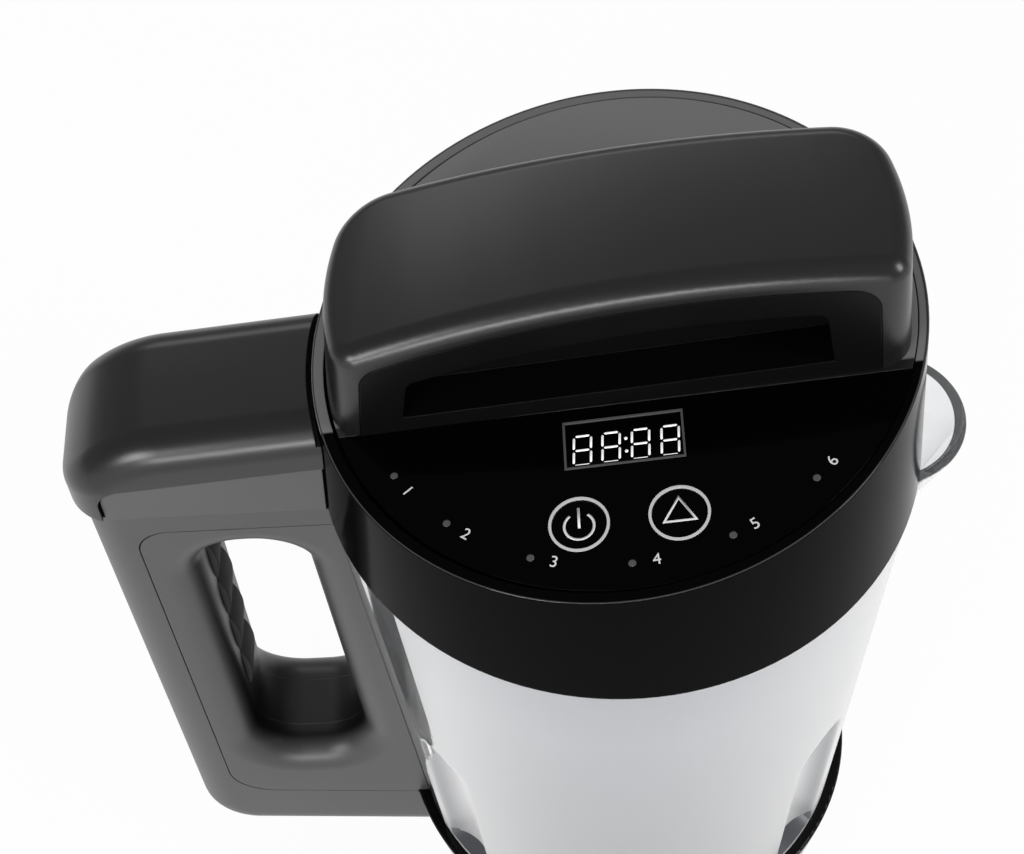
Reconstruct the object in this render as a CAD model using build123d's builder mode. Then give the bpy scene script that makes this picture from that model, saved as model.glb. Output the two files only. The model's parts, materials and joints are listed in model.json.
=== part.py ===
from build123d import *
from math import atan, cos, degrees, radians, sin, sqrt, tan
import os

os.makedirs("parts", exist_ok=True)

# A jug soup maker. Z = 0 is the surface that its feet stand on, the jug's axis is X = Y = 0,
# the spout points along +X, the handle along -X, and the control panel faces -Y.

# Heights
foot_height = 3.0
base_height = 44.0
jug_height = 175.0
base_top_z = foot_height + base_height
rim_z = base_top_z + jug_height

# Jug
jug_rim_radius = 79.4
jug_taper = 11.1
jug_foot_radius = jug_rim_radius - jug_taper
jug_wall = 3.0
jug_seat_depth = 11.0
spout_throw = 13.1
spout_reach = jug_rim_radius + spout_throw
spout_half_width = 21.5
spout_depth = 42.0
spout_low_half_width = 16.0
spout_root = 1.5
flute_places = (-140.0, -40.0, 40.0, 140.0)
flute_radius = 14.0
flute_height = 84.0
flute_depth = 4.8
flute_start = 1.0
flute_round = 11.0

# Head
lid_gap = 0.3
collar_overhang = 0.6
collar_radius = jug_rim_radius + collar_overhang
collar_taper = 3.0
collar_top_radius = collar_radius - collar_taper
collar_height = 46.3
collar_wall = 3.0
top_slope_x = 7.0
top_slope_y = 2.0
cover_thickness = 3.0
shelf_width = 2.4
shelf_thickness = 2.4
seam = 0.3
panel_thickness = 1.6
cover_screw_inset = 1.2
cover_boss_radius = 7.2
cover_head_radius = 2.9
groove_depth = 0.75
groove_lip = 0.9

# Bridge handle
bridge_front_y = -22.3
bridge_rear_y = 31.7
bridge_margin = 4.0
bridge_radius = collar_top_radius - bridge_margin
bridge_draft = 5.0
bridge_wall = 2.6
bridge_sink = 16.3
bridge_start = collar_height - bridge_sink
crown_left_rise = 17.1
crown_left = collar_height + crown_left_rise
crown_middle_rise = 38.2
crown_middle = collar_height + crown_middle_rise
crown_right_rise = 40.7
crown_right = collar_height + crown_right_rise
bridge_edge = 5.5
bridge_front_corner = 9.0
bridge_rear_corner = 18.0
insert_margin = 9.2
rear_insert_trim = 11.0
insert_half_width = bridge_radius - insert_margin
insert_drop = 6.6
insert_corner = 7.0
recess_margin = 10.6
recess_half_width = insert_half_width - recess_margin
recess_drop = 8.0
recess_sill = 5.0
recess_draft = 9.0
recess_depth = 12.0
recess_corner = 3.0
insert_wall = 1.8

# Display, buttons and lights on the panel
display_gap = 10.7
display_y = bridge_front_y - display_gap
display_width = 29.6
display_height = 13.6
display_line = 0.6
display_proud = 0.2
button_x = 12.0
button_gap = 32.7
button_y = bridge_front_y - button_gap
button_radius = 6.4
button_travel = 0.8
ring_radius = 7.4
ring_width = 0.7
light_margin = 7.0
light_ring_radius = collar_top_radius - collar_wall - light_margin
light_angles = (-148.0, -131.0, -111.0, -90.0, -69.0, -48.0)
light_radius = 0.95
light_length = 4.0
fit_gap = 0.05
board_thickness = 1.6
board_drop = 8.5
board_width = 58.0
board_depth = 36.0
board_gap = 19.7
board_y = bridge_front_y - board_gap
post_radius = 2.4
stem_radius = 1.8
switch_side = 6.0
switch_height = 3.0

# Handle
handle_reach = 64.6
handle_outer_x = -(jug_rim_radius + handle_reach)
handle_lean = 2.5
handle_half_width = 20.0
handle_bottom_z = 25.0
handle_fall = 11.7
handle_corner = 20.0
handle_edge = 12.0
side_border = 13.2
side_top_border = 7.5
side_bottom_border = 30.0
side_corner = 9.0
side_low_corner = 15.0
side_thickness = 12.0
grip_bar = 27.2
hole_left_x = handle_outer_x + grip_bar
hole_top_drop = 20.0
hole_bottom_z = 74.5
hole_wall_top = 12.0
hole_wall_low = 15.0
hole_corner = 14.0
hole_edge = 10.0
wall_gap = 0.15
grip_half_width = 6.5
grip_depth = 3.0
grip_ridge = 2.0
grip_pitch = 21.5
grip_count = 4
grip_drop = 35.5

# Socket on the handle and the cap over it
cap_reach = 3.0
cap_overhang = 1.2
cap_corner = 14.2
cap_fall_length = 28.0
cap_crown_radius = 36.0
cap_crown_angle = 75.0
cap_edge = 9.5
cap_wall = 2.6
cap_groove = 1.4
cap_groove_depth = 6.0
socket_drop = 16.0
socket_inset = 7.7
socket_end_x = handle_outer_x + socket_inset
socket_corner = 7.0
socket_gap = 0.9
plug_stand = 28.0
plug_x = -(collar_radius + plug_stand)
plug_length = 30.0
plug_width = 22.0
plug_wall = 2.0
plug_gap = 0.4
pin_count = 4
pin_pitch = 6.0
pin_radius = 1.2
pin_length = 9.0
contact_wall = 0.6

# Housing below the head and the drive
plug_clear = 3.9
plug_radius = jug_rim_radius - jug_wall - plug_clear
plug_depth = 14.0
plug_lift = 2.5
housing_wall = 2.0
motor_cup_radius = 40.0
motor_cup_depth = 50.0
boss_height = 5.0
motor_screw_place = 34.2
motor_head_radius = 2.6
motor_screws_count = 4
motor_screw_head = 1.5
motor_screw_length = 6.5
bracket_thickness = 1.5
bracket_radius = 37.5
bracket_hole = 12.0
seal_height = 6.0
seal_top_drop = 6.0
seal_band = 1.4
seal_lip = 1.2
seal_gap = 0.35
can_radius = 31.0
can_wall = 1.5
can_height = 52.0
mount_height = 2.5
mount_inner_radius = 22.0
stator_radius = 24.9
stator_height = 32.0
rotor_gap = 0.5
rotor_height = 34.0
rotor_slots = 12
slot_depth = 6.0
slot_width = 1.5
shaft_radius = 3.0
shaft_top = 25.0
fan_rise = 16.5
bearing_radius = 8.0
bearing_height = 5.0
bearing_hub = 1.6
stator_width = 4.5
stator_grooves = 8
running_gap = 0.05
fan_radius = 25.0
fan_height = 7.0
fan_hub_radius = 6.0
fan_disc = 1.2
fan_lean = 14.0
fan_blades = 9
tube_radius = 9.0
tube_wall = 2.6
tube_flange_radius = 17.0
tube_flange = 3.0
tube_end_drop = 136.0
bush_height = 10.0
guard_radius = 30.0
guard_height = 19.0
guard_wall = 1.8
guard_window_width = 18.0
guard_window_height = 11.0
guard_windows = 4
blade_drop = 148.0
blade_reach = 24.0
blade_width = 9.0
blade_tip_cut = 3.0
blade_thickness = 1.3
blade_pitch = 22.0
blade_hub_radius = 6.0
blade_wings = 4
blade_hub_height = 4.0
nut_radius = 4.6
nut_height = 5.0
nut_side_count = 6
nut_round = 1.0
probe_radius = 3.0
probe_inset = 18.5
probe_x = -(plug_radius - probe_inset)
probe_length = 46.0
probe_head_radius = 5.0
probe_head = 3.0

# Base and heater
base_rim_step = 3.6
base_rim_radius = jug_foot_radius + base_rim_step
base_taper = 6.9
base_foot_radius = base_rim_radius - base_taper
base_wall = 3.0
base_rim_round = 1.0
ledge_reach = 16.3
base_ledge_radius = jug_foot_radius - ledge_reach
base_ledge = 3.0
cover_plate = 2.5
foot_radius = 8.0
foot_margin = 15.0
foot_place_radius = base_foot_radius - foot_margin
foot_seat = 1.5
screw_radius = 1.8
screw_head_radius = 3.4
screw_head = 2.2
screw_length = 12.0
base_screw_margin = 8.0
base_screw_place = base_foot_radius - base_screw_margin
base_screws_count = 4
feet_count = 4
boss_radius = 4.5
plate_thickness = 2.0
plate_skirt = 9.0
plate_gap = 0.2
plate_seal_thickness = 1.6
element_ring_radius = 43.0
element_radius = 3.3
element_angle = 300.0
terminal_angle = 4.0
terminal_length = 10.0
thermostat_radius = 9.0
thermostat_height = 8.0
sensor_radius = 3.5
sensor_height = 9.0
sensor_x = 22.0
clamp_height = 2.5
inlet_width = 27.0
inlet_height = 20.0
inlet_depth = 20.0
inlet_wall = 1.6
inlet_z = 20.0
inlet_flange = 2.5
inlet_pin_width = 4.0
inlet_pin_thickness = 2.0
inlet_pin_length = 10.0
inlet_pin_pitch = 7.0
power_board_width = 60.0
power_board_depth = 44.0
power_board_z = 14.0
relay_width = 16.0
relay_depth = 12.8
relay_height = 9.6
driver_width = 11.2
driver_depth = 8.0
capacitor_radius = 5.3

half_quarter = 45.0

# Overrun of every cut past the face that it opens
over = 1.0
reach = 140.0


def jug_radius(z):
    """Outside radius of the jug's plain tapered wall at a height."""
    return jug_foot_radius + (jug_rim_radius - jug_foot_radius) * (z - base_top_z) / jug_height


def sloped(offset):
    """A plane parallel to the head's sloped top, this far above it along its normal."""
    tilt_x = tan(radians(top_slope_x))
    tilt_y = tan(radians(top_slope_y))
    top = Plane(origin=(0, 0, rim_z + collar_height), x_dir=(1, 0, tilt_x), z_dir=(-tilt_x, -tilt_y, 1))
    return top.offset(offset)


def sloped_disc(radius, low, high):
    """An upright round plate between two planes parallel to the sloped top."""
    with BuildPart() as disc:
        with BuildSketch(Plane.XY.offset(rim_z - reach / 2)):
            Circle(radius)
        extrude(amount=reach * 2)
        split(bisect_by=sloped(high), keep=Keep.BOTTOM)
        split(bisect_by=sloped(low), keep=Keep.TOP)
    return disc.part


def turned(points):
    """A solid turned about the jug's axis from radius and height pairs."""
    with BuildPart() as solid:
        with BuildSketch(Plane.YZ):
            with BuildLine():
                Polyline(*points, close=True)
            make_face()
        revolve(axis=Axis.Z)
    return solid.part


# Jug: a tapered clear wall, a pouring spout and four flutes with rounded tops
jug_low_z = base_top_z - jug_seat_depth
jug_outer = turned(
    [(0, jug_low_z), (jug_radius(jug_low_z), jug_low_z), (jug_rim_radius, rim_z), (0, rim_z)]
)
jug_inner = turned(
    [
        (0, jug_low_z - over),
        (jug_radius(jug_low_z - over) - jug_wall, jug_low_z - over),
        (jug_radius(rim_z + over) - jug_wall, rim_z + over),
        (0, rim_z + over),
    ]
)


def spout_bulge(inset, lift):
    """The spout's outside, or with an inset its inside, lofted down into the jug's wall."""
    low_radius = spout_low_half_width - inset
    low_reach = jug_radius(rim_z - spout_depth) - spout_root - inset
    with BuildPart() as bulge:
        with BuildSketch(Plane.XY.offset(rim_z + lift)):
            with Locations((spout_reach - spout_half_width, 0)):
                Circle(spout_half_width - inset)
        with BuildSketch(Plane.XY.offset(rim_z - spout_depth)):
            with Locations((low_reach - low_radius, 0)):
                Circle(low_radius)
        loft()
    return bulge.part


def flute_rods(grown):
    """Round-ended rods along the jug's wall, which sink their flutes into it."""
    foot_z = base_top_z + flute_start + jug_wall - grown
    top_z = base_top_z + flute_height + grown
    out = flute_radius - flute_depth
    with BuildPart() as rods:
        for angle in flute_places:
            start = Vector(jug_radius(foot_z) + out, 0, foot_z).rotate(Axis.Z, angle)
            end = Vector(jug_radius(top_z) + out, 0, top_z).rotate(Axis.Z, angle)
            with BuildSketch(Plane(origin=start, z_dir=end - start)):
                Circle(flute_radius + grown)
            extrude(amount=(end - start).length)
        ends = rods.edges().filter_by(lambda edge: edge.center().Z > top_z - flute_radius)
        fillet(ends, radius=flute_round + grown)
    return rods.part


spout_outer = spout_bulge(0, 0)
spout_inner = spout_bulge(jug_wall, over)
flutes = flute_rods(0)
flute_backs = flute_rods(jug_wall)

with BuildPart() as inner_space:
    add(jug_inner)
    add(spout_inner)
    add(flute_backs, mode=Mode.SUBTRACT)

with BuildPart() as jug_body:
    add(jug_outer)
    add(spout_outer)
    add(inner_space.part, mode=Mode.SUBTRACT)
    add(flutes, mode=Mode.SUBTRACT)
jug_body.part.label = "jug_body"
export_step(jug_body.part, "parts/jug_body.step")

# Base housing: a tapered skirt with a ledge that carries the jug's foot
ledge_z = jug_low_z - base_ledge
seat_radius = jug_radius(base_top_z) + wall_gap
seat_low_radius = jug_radius(jug_low_z) + wall_gap


def base_radius(z):
    """Outside radius of the base's tapered wall at a height."""
    return base_foot_radius + base_taper * (z - foot_height) / base_height


inlet_face_y = base_radius(inlet_z + inlet_height / 2)
inlet_plane = Plane(origin=(0, inlet_face_y, inlet_z), x_dir=(1, 0, 0), z_dir=(0, -1, 0))
with BuildPart() as base_housing:
    with BuildSketch(Plane.XZ):
        with BuildLine():
            Polyline(
                (seat_radius, base_top_z),
                (base_rim_radius, base_top_z),
                (base_foot_radius, foot_height),
                (base_foot_radius - base_wall, foot_height),
                (base_radius(ledge_z - base_wall) - base_wall, ledge_z - base_wall),
                (base_ledge_radius, ledge_z),
                (base_ledge_radius, jug_low_z),
                (seat_low_radius, jug_low_z),
                close=True,
            )
        make_face()
    revolve(axis=Axis.Z)
    rim_edges = base_housing.edges().filter_by(GeomType.CIRCLE).group_by(Axis.Z)[-1]
    fillet(rim_edges.sort_by(SortBy.RADIUS)[-1], radius=base_rim_round)
    with BuildSketch(inlet_plane.offset(-inlet_depth)):
        Rectangle(inlet_width + fit_gap * 2, inlet_height + fit_gap * 2)
    extrude(amount=inlet_depth * 2, mode=Mode.SUBTRACT)
    with BuildSketch(Plane.XY.offset(foot_height + cover_plate)):
        with PolarLocations(base_screw_place, base_screws_count, start_angle=half_quarter):
            Circle(boss_radius)
    extrude(until=Until.NEXT)
    with BuildSketch(Plane.XY.offset(foot_height + cover_plate)):
        with PolarLocations(base_screw_place, base_screws_count, start_angle=half_quarter):
            Circle(screw_radius + fit_gap)
    extrude(amount=screw_length, mode=Mode.SUBTRACT)
base_housing.part.label = "base_housing"
export_step(base_housing.part, "parts/base_housing.step")

# Bottom cover with its posts, its feet and its screws
cover_top_z = foot_height + cover_plate
board_post_x = power_board_width / 2 - post_radius * 2
board_post_y = power_board_depth / 2 - post_radius * 2
with BuildPart() as base_cover:
    with BuildSketch(Plane.XY.offset(foot_height)):
        Circle(base_foot_radius - base_wall - wall_gap)
    extrude(amount=cover_plate)
    with BuildSketch(Plane.XY.offset(cover_top_z)):
        with GridLocations(board_post_x * 2, board_post_y * 2, 2, 2):
            Circle(post_radius)
    extrude(amount=power_board_z - cover_top_z)
    with BuildSketch(Plane.XY.offset(foot_height)):
        with PolarLocations(foot_place_radius, feet_count):
            Circle(foot_radius + fit_gap)
    extrude(amount=foot_seat, mode=Mode.SUBTRACT)
    with BuildSketch(Plane.XY.offset(foot_height)):
        with PolarLocations(base_screw_place, base_screws_count, start_angle=half_quarter):
            Circle(screw_radius + plate_gap)
    extrude(amount=cover_plate, mode=Mode.SUBTRACT)
    with BuildSketch(Plane.XY.offset(foot_height)):
        with PolarLocations(base_screw_place, base_screws_count, start_angle=half_quarter):
            Circle(screw_head_radius + plate_gap)
    extrude(amount=cover_plate / 2, mode=Mode.SUBTRACT)
base_cover.part.label = "base_cover"
export_step(base_cover.part, "parts/base_cover.step")

with BuildPart() as rubber_feet:
    with BuildSketch():
        with PolarLocations(foot_place_radius, feet_count):
            Circle(foot_radius)
    extrude(amount=foot_height + foot_seat)
    chamfer(rubber_feet.edges().group_by(Axis.Z)[0], length=foot_seat / 2)
rubber_feet.part.label = "rubber_feet"
export_step(rubber_feet.part, "parts/rubber_feet.step")

with BuildPart() as base_screws:
    with BuildSketch(Plane.XY.offset(foot_height + cover_plate / 2)):
        with PolarLocations(base_screw_place, base_screws_count, start_angle=half_quarter):
            Circle(screw_radius)
    extrude(amount=screw_length)
    with BuildSketch(Plane.XY.offset(foot_height + cover_plate / 2)):
        with PolarLocations(base_screw_place, base_screws_count, start_angle=half_quarter):
            Circle(screw_head_radius)
    extrude(amount=-cover_plate / 2)
base_screws.part.label = "base_screws"
export_step(base_screws.part, "parts/base_screws.step")

# Heating plate, its seal and its clamp ring close the jug's foot
plate_low_z = base_top_z - plate_skirt
seal_outer = jug_radius(plate_low_z) - jug_wall - plate_gap
plate_radius = seal_outer - plate_seal_thickness
with BuildPart() as heating_plate:
    with BuildSketch(Plane.XY.offset(plate_low_z)):
        Circle(plate_radius - fit_gap)
    extrude(amount=plate_skirt)
    with BuildSketch(Plane.XY.offset(plate_low_z)):
        Circle(plate_radius - plate_thickness)
    extrude(amount=plate_skirt - plate_thickness, mode=Mode.SUBTRACT)
    fillet(heating_plate.faces().sort_by(Axis.Z)[-1].edges(), radius=plate_thickness / 2)
heating_plate.part.label = "heating_plate"
export_step(heating_plate.part, "parts/heating_plate.step")

with BuildPart() as plate_seal:
    with BuildSketch(Plane.XY.offset(plate_low_z)):
        Circle(seal_outer)
        Circle(plate_radius, mode=Mode.SUBTRACT)
    extrude(amount=plate_skirt - plate_thickness)
plate_seal.part.label = "plate_seal"
export_step(plate_seal.part, "parts/plate_seal.step")

clamp_outer = jug_radius(jug_low_z) - jug_wall - plate_gap
with BuildPart() as clamp_ring:
    with BuildSketch(Plane.XY.offset(jug_low_z)):
        Circle(clamp_outer)
        Circle(base_ledge_radius, mode=Mode.SUBTRACT)
    extrude(amount=plate_low_z - jug_low_z)
clamp_ring.part.label = "clamp_ring"
export_step(clamp_ring.part, "parts/clamp_ring.step")

# Tubular heating element brazed under the plate, with two terminals
element_z = base_top_z - plate_thickness - element_radius
with BuildPart() as heating_element:
    with BuildSketch(Plane.XZ):
        with Locations((element_ring_radius, element_z)):
            Circle(element_radius)
    revolve(axis=Axis.Z, revolution_arc=element_angle)
    with BuildSketch(Plane.XY.offset(element_z)):
        for angle in (terminal_angle, element_angle - terminal_angle):
            with PolarLocations(element_ring_radius, 1, start_angle=angle):
                Circle(element_radius / 2)
    extrude(amount=-terminal_length)
heating_element.part.label = "heating_element"
export_step(heating_element.part, "parts/heating_element.step")

under_plate_z = base_top_z - plate_thickness
with BuildPart() as thermostat:
    with BuildSketch(Plane.XY.offset(under_plate_z)):
        Circle(thermostat_radius)
    extrude(amount=-thermostat_height)
    with BuildSketch(Plane.XY.offset(under_plate_z - thermostat_height)):
        with GridLocations(thermostat_radius, 0, 2, 1):
            Rectangle(plate_thickness / 2, thermostat_radius / 2)
    extrude(amount=-thermostat_height / 2)
thermostat.part.label = "thermostat"
export_step(thermostat.part, "parts/thermostat.step")

with BuildPart() as temperature_sensor:
    with BuildSketch(Plane.XY.offset(under_plate_z)):
        with Locations((sensor_x, 0)):
            Circle(sensor_radius)
    extrude(amount=-sensor_height)
    fillet(temperature_sensor.faces().sort_by(Axis.Z)[0].edges(), radius=sensor_radius / 2)
temperature_sensor.part.label = "temperature_sensor"
export_step(temperature_sensor.part, "parts/temperature_sensor.step")

with BuildPart() as power_board:
    with BuildSketch(Plane.XY.offset(power_board_z)):
        Rectangle(power_board_width, power_board_depth)
    extrude(amount=board_thickness)
    with BuildSketch(Plane.XY.offset(power_board_z + board_thickness)):
        with Locations((-power_board_width / 4, 0)):
            Rectangle(relay_width, relay_depth)
        with Locations((power_board_width / 4, power_board_depth / 4)):
            Circle(capacitor_radius)
        with Locations((power_board_width / 4, -power_board_depth / 4)):
            Rectangle(driver_width, driver_depth)
    extrude(amount=relay_height)
power_board.part.label = "power_board"
export_step(power_board.part, "parts/power_board.step")

# Power inlet: a socket shell through the base's rear wall, with three flat pins
with BuildPart() as power_inlet:
    with BuildSketch(inlet_plane):
        Rectangle(inlet_width, inlet_height)
    extrude(amount=inlet_depth)
    with BuildSketch(inlet_plane):
        RectangleRounded(inlet_width - inlet_wall * 2, inlet_height - inlet_wall * 2, inlet_wall)
    extrude(amount=inlet_depth - inlet_flange, mode=Mode.SUBTRACT)
power_inlet.part.label = "power_inlet"
export_step(power_inlet.part, "parts/power_inlet.step")

with BuildPart() as inlet_pins:
    with BuildSketch(inlet_plane.offset(inlet_depth - inlet_flange)):
        with Locations((-inlet_pin_pitch, 0), (inlet_pin_pitch, 0)):
            Rectangle(inlet_pin_thickness, inlet_pin_width)
        with Locations((0, inlet_pin_width)):
            Rectangle(inlet_pin_thickness, inlet_pin_width)
    extrude(amount=-inlet_pin_length)
inlet_pins.part.label = "inlet_pins"
export_step(inlet_pins.part, "parts/inlet_pins.step")

# Handle: a moulded D-shaped body, two side shells let into it and a ridged finger grip
stand_clear = turned(
    [
        (0, foot_height - over),
        (base_radius(foot_height - over) + wall_gap, foot_height - over),
        (base_rim_radius + wall_gap, base_top_z + wall_gap),
        (jug_radius(base_top_z) + wall_gap, base_top_z + wall_gap),
        (jug_rim_radius + wall_gap, rim_z + over),
        (0, rim_z + over),
    ]
)


def wall_x(z):
    """Where the jug's wall meets the handle's side face."""
    return -sqrt(jug_radius(z) ** 2 - handle_half_width**2)


hole_top_z = rim_z - hole_top_drop
hole_low_right = wall_x(hole_bottom_z) - hole_wall_low
hole_top_right = wall_x(hole_top_z) - hole_wall_top
handle_low_x = handle_outer_x + handle_lean
handle_inner_x = -jug_foot_radius + handle_corner


def handle_outer_line(z):
    """Where the handle's leaning outer face is at a height."""
    return handle_outer_x + handle_lean * (rim_z - z) / (rim_z - handle_bottom_z)


def handle_bottom_line(x):
    """Height of the handle's sloped underside at a place along it."""
    return handle_bottom_z - handle_fall * (x - handle_low_x) / (handle_inner_x - handle_low_x)


def handle_hole():
    """The finger opening through the handle."""
    with BuildPart() as hole:
        with BuildSketch(Plane.XZ) as outline:
            with BuildLine():
                Polyline(
                    (hole_left_x, hole_bottom_z),
                    (hole_low_right, hole_bottom_z),
                    (hole_top_right, hole_top_z),
                    (hole_left_x, hole_top_z),
                    close=True,
                )
            make_face()
            fillet(outline.vertices(), radius=hole_corner)
        extrude(amount=handle_half_width + over, both=True)
    return hole.part


side_high_z = rim_z - side_top_border


def side_outline(inset):
    """The side shell's outline, sunk into the handle's faces."""
    high = side_high_z - inset
    top_left = handle_outer_line(high) + side_border + inset
    low_left = handle_low_x + side_border + inset
    rise = side_bottom_border + inset
    with BuildSketch() as outline:
        with BuildLine():
            Polyline(
                (low_left, handle_bottom_line(low_left) + rise),
                (handle_inner_x, handle_bottom_line(handle_inner_x) + rise),
                (handle_inner_x, high),
                (top_left, high),
                close=True,
            )
        make_face()
        fillet(outline.vertices().sort_by(Axis.X)[:2].sort_by(Axis.Y)[0], radius=side_low_corner)
        fillet(outline.vertices().group_by(Axis.Y)[-1].sort_by(Axis.X)[0], radius=side_corner)
    return outline.sketch


grip_top_z = rim_z - grip_drop
grip_low_z = grip_top_z - grip_pitch * grip_count
grip_plane = Plane(origin=(hole_left_x, 0, (grip_low_z + grip_top_z) / 2), x_dir=(0, 1, 0), z_dir=(1, 0, 0))
hole_cut = handle_hole()
side_pocket = side_outline(0)
side_shape = side_outline(seam)
with BuildPart() as handle_body:
    with BuildSketch(Plane.XZ):
        with BuildLine():
            Polyline(
                (handle_low_x, handle_bottom_z),
                (handle_inner_x, handle_bottom_line(handle_inner_x)),
                (handle_inner_x, rim_z),
                (handle_outer_x, rim_z),
                close=True,
            )
        make_face()
    extrude(amount=handle_half_width, both=True)
    corner_edge = handle_body.edges().filter_by(Axis.Y).sort_by(Axis.Z)[:2].sort_by(Axis.X)[0]
    fillet(corner_edge, radius=handle_corner)
    outer_edges = handle_body.edges().filter_by(
        lambda edge: abs(abs(edge.center().Y) - handle_half_width) < over
        and edge.center().X < handle_inner_x - over
        and edge.center().Z < rim_z - over
    )
    fillet(outer_edges, radius=handle_edge)
    for side in (-1, 1):
        face_plane = Plane(origin=(0, side * handle_half_width, 0), x_dir=(1, 0, 0), z_dir=(0, -1, 0))
        with BuildSketch(face_plane):
            add(side_pocket)
        extrude(amount=side * side_thickness, mode=Mode.SUBTRACT)
    add(hole_cut, mode=Mode.SUBTRACT)
    add(stand_clear, mode=Mode.SUBTRACT)
    with BuildSketch(grip_plane):
        Rectangle((grip_half_width + fit_gap) * 2, grip_pitch * grip_count + fit_gap * 2)
    extrude(amount=-grip_depth, mode=Mode.SUBTRACT)
    with BuildSketch(Plane.XY.offset(rim_z)):
        with Locations((plug_x, 0)):
            with GridLocations(pin_pitch, 0, pin_count, 1):
                Circle(pin_radius + plug_gap + contact_wall + fit_gap)
    extrude(amount=-pin_length - over, mode=Mode.SUBTRACT)
handle_body.part.label = "handle_body"
export_step(handle_body.part, "parts/handle_body.step")


def side_shell(side):
    """One side shell, with the opening's rounded mouth."""
    face_plane = Plane(origin=(0, side * handle_half_width, 0), x_dir=(1, 0, 0), z_dir=(0, -1, 0))
    with BuildPart() as shell:
        with BuildSketch(face_plane):
            add(side_shape)
        extrude(amount=side * side_thickness)
        add(hole_cut, mode=Mode.SUBTRACT)
        add(stand_clear, mode=Mode.SUBTRACT)
        mouth = shell.faces().sort_by(Axis.Y)[0 if side < 0 else -1].inner_wires()[0].edges()
        fillet(mouth, radius=hole_edge)
    return shell.part


with BuildPart() as handle_front_shell:
    add(side_shell(-1))
handle_front_shell.part.label = "handle_front_shell"
export_step(handle_front_shell.part, "parts/handle_front_shell.step")

with BuildPart() as handle_rear_shell:
    add(side_shell(1))
handle_rear_shell.part.label = "handle_rear_shell"
export_step(handle_rear_shell.part, "parts/handle_rear_shell.step")

grip_x = hole_left_x - grip_depth + fit_gap
with BuildPart() as finger_grip:
    with BuildSketch(Plane.XZ):
        with BuildLine():
            Line((grip_x, grip_low_z), (grip_x, grip_top_z))
            Line((grip_x, grip_top_z), (hole_left_x, grip_top_z))
            for step in range(grip_count):
                high = grip_top_z - grip_pitch * step
                ThreePointArc(
                    (hole_left_x, high),
                    (hole_left_x + grip_ridge, high - grip_pitch / 2),
                    (hole_left_x, high - grip_pitch),
                )
            Line((hole_left_x, grip_low_z), (grip_x, grip_low_z))
        make_face()
    extrude(amount=grip_half_width, both=True)
    ridge_edges = finger_grip.edges().filter_by(GeomType.CIRCLE)
    fillet(ridge_edges, radius=grip_ridge / 2)
finger_grip.part.label = "finger_grip"
export_step(finger_grip.part, "parts/finger_grip.step")


def end_plan(end_x, half_width, corner):
    """The outline from above of a block that ends in two rounded corners."""
    with BuildSketch() as plan:
        with BuildLine():
            Polyline(
                (end_x, -half_width),
                (-collar_top_radius / 2, -half_width),
                (-collar_top_radius / 2, half_width),
                (end_x, half_width),
                close=True,
            )
        make_face()
        fillet(plan.vertices().group_by(Axis.X)[0], radius=corner)
    return plan.sketch


# Socket block on the handle, with sleeves for the head's plug pins
collar_clear = turned(
    [
        (0, rim_z - over),
        (collar_radius + plug_gap, rim_z - over),
        (collar_radius + plug_gap, rim_z + lid_gap),
        (collar_top_radius + plug_gap, rim_z + collar_height + over),
        (0, rim_z + collar_height + over),
    ]
)
with BuildPart() as handle_socket:
    with BuildSketch(Plane.XZ):
        with BuildLine():
            Polyline(
                (socket_end_x, rim_z),
                (-collar_top_radius / 2, rim_z),
                (-collar_top_radius / 2, rim_z + collar_height),
                (socket_end_x, rim_z + collar_height),
                close=True,
            )
        make_face()
    extrude(amount=handle_half_width, both=True)
    split(bisect_by=sloped(-socket_drop), keep=Keep.BOTTOM)
    end_edge = handle_socket.faces().sort_by(Axis.X)[0].edges().sort_by(Axis.Z)[-1]
    fillet(end_edge, radius=socket_corner)
    with BuildSketch(Plane.XY.offset(rim_z)):
        add(end_plan(handle_outer_x - cap_reach + cap_overhang, handle_half_width, cap_corner - cap_overhang))
    extrude(amount=collar_height, mode=Mode.INTERSECT)
    add(collar_clear, mode=Mode.SUBTRACT)
    with BuildSketch(Plane.XY.offset(rim_z)):
        with Locations((plug_x, 0)):
            Rectangle(plug_length + plug_gap * 2, plug_width + plug_gap * 2)
    extrude(amount=collar_height, mode=Mode.SUBTRACT)
handle_socket.part.label = "handle_socket"
export_step(handle_socket.part, "parts/handle_socket.step")

with BuildPart() as socket_contacts:
    with BuildSketch(Plane.XY.offset(rim_z)):
        with Locations((plug_x, 0)):
            with GridLocations(pin_pitch, 0, pin_count, 1):
                Circle(pin_radius + plug_gap + contact_wall)
            with GridLocations(pin_pitch, 0, pin_count, 1):
                Circle(pin_radius + plug_gap, mode=Mode.SUBTRACT)
    extrude(amount=-pin_length - over)
socket_contacts.part.label = "socket_contacts"
export_step(socket_contacts.part, "parts/socket_contacts.step")

# Collar of the head: a slightly tapered ring whose top is cut on the slope
taper = (collar_radius - collar_top_radius) / collar_height
collar_outer = turned(
    [
        (0, rim_z + lid_gap),
        (collar_radius, rim_z + lid_gap),
        (collar_radius - taper * reach / 2, rim_z + reach / 2),
        (0, rim_z + reach / 2),
    ]
)
collar_hollow = turned(
    [
        (0, rim_z - over),
        (collar_radius - collar_wall, rim_z - over),
        (collar_radius - collar_wall - taper * reach / 2, rim_z + reach / 2),
        (0, rim_z + reach / 2),
    ]
)
cover_radius = collar_top_radius - collar_wall
groove_low_z = rim_z + groove_lip
groove_high_z = groove_low_z + housing_wall + wall_gap
groove_radius = collar_radius - collar_wall + groove_depth
collar_groove = turned(
    [
        (collar_radius / 2, groove_low_z),
        (groove_radius, groove_low_z),
        (groove_radius, groove_high_z),
        (collar_radius / 2, groove_high_z),
    ]
)
cover_seat = sloped_disc(cover_radius, -cover_thickness, reach / 2)
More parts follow.
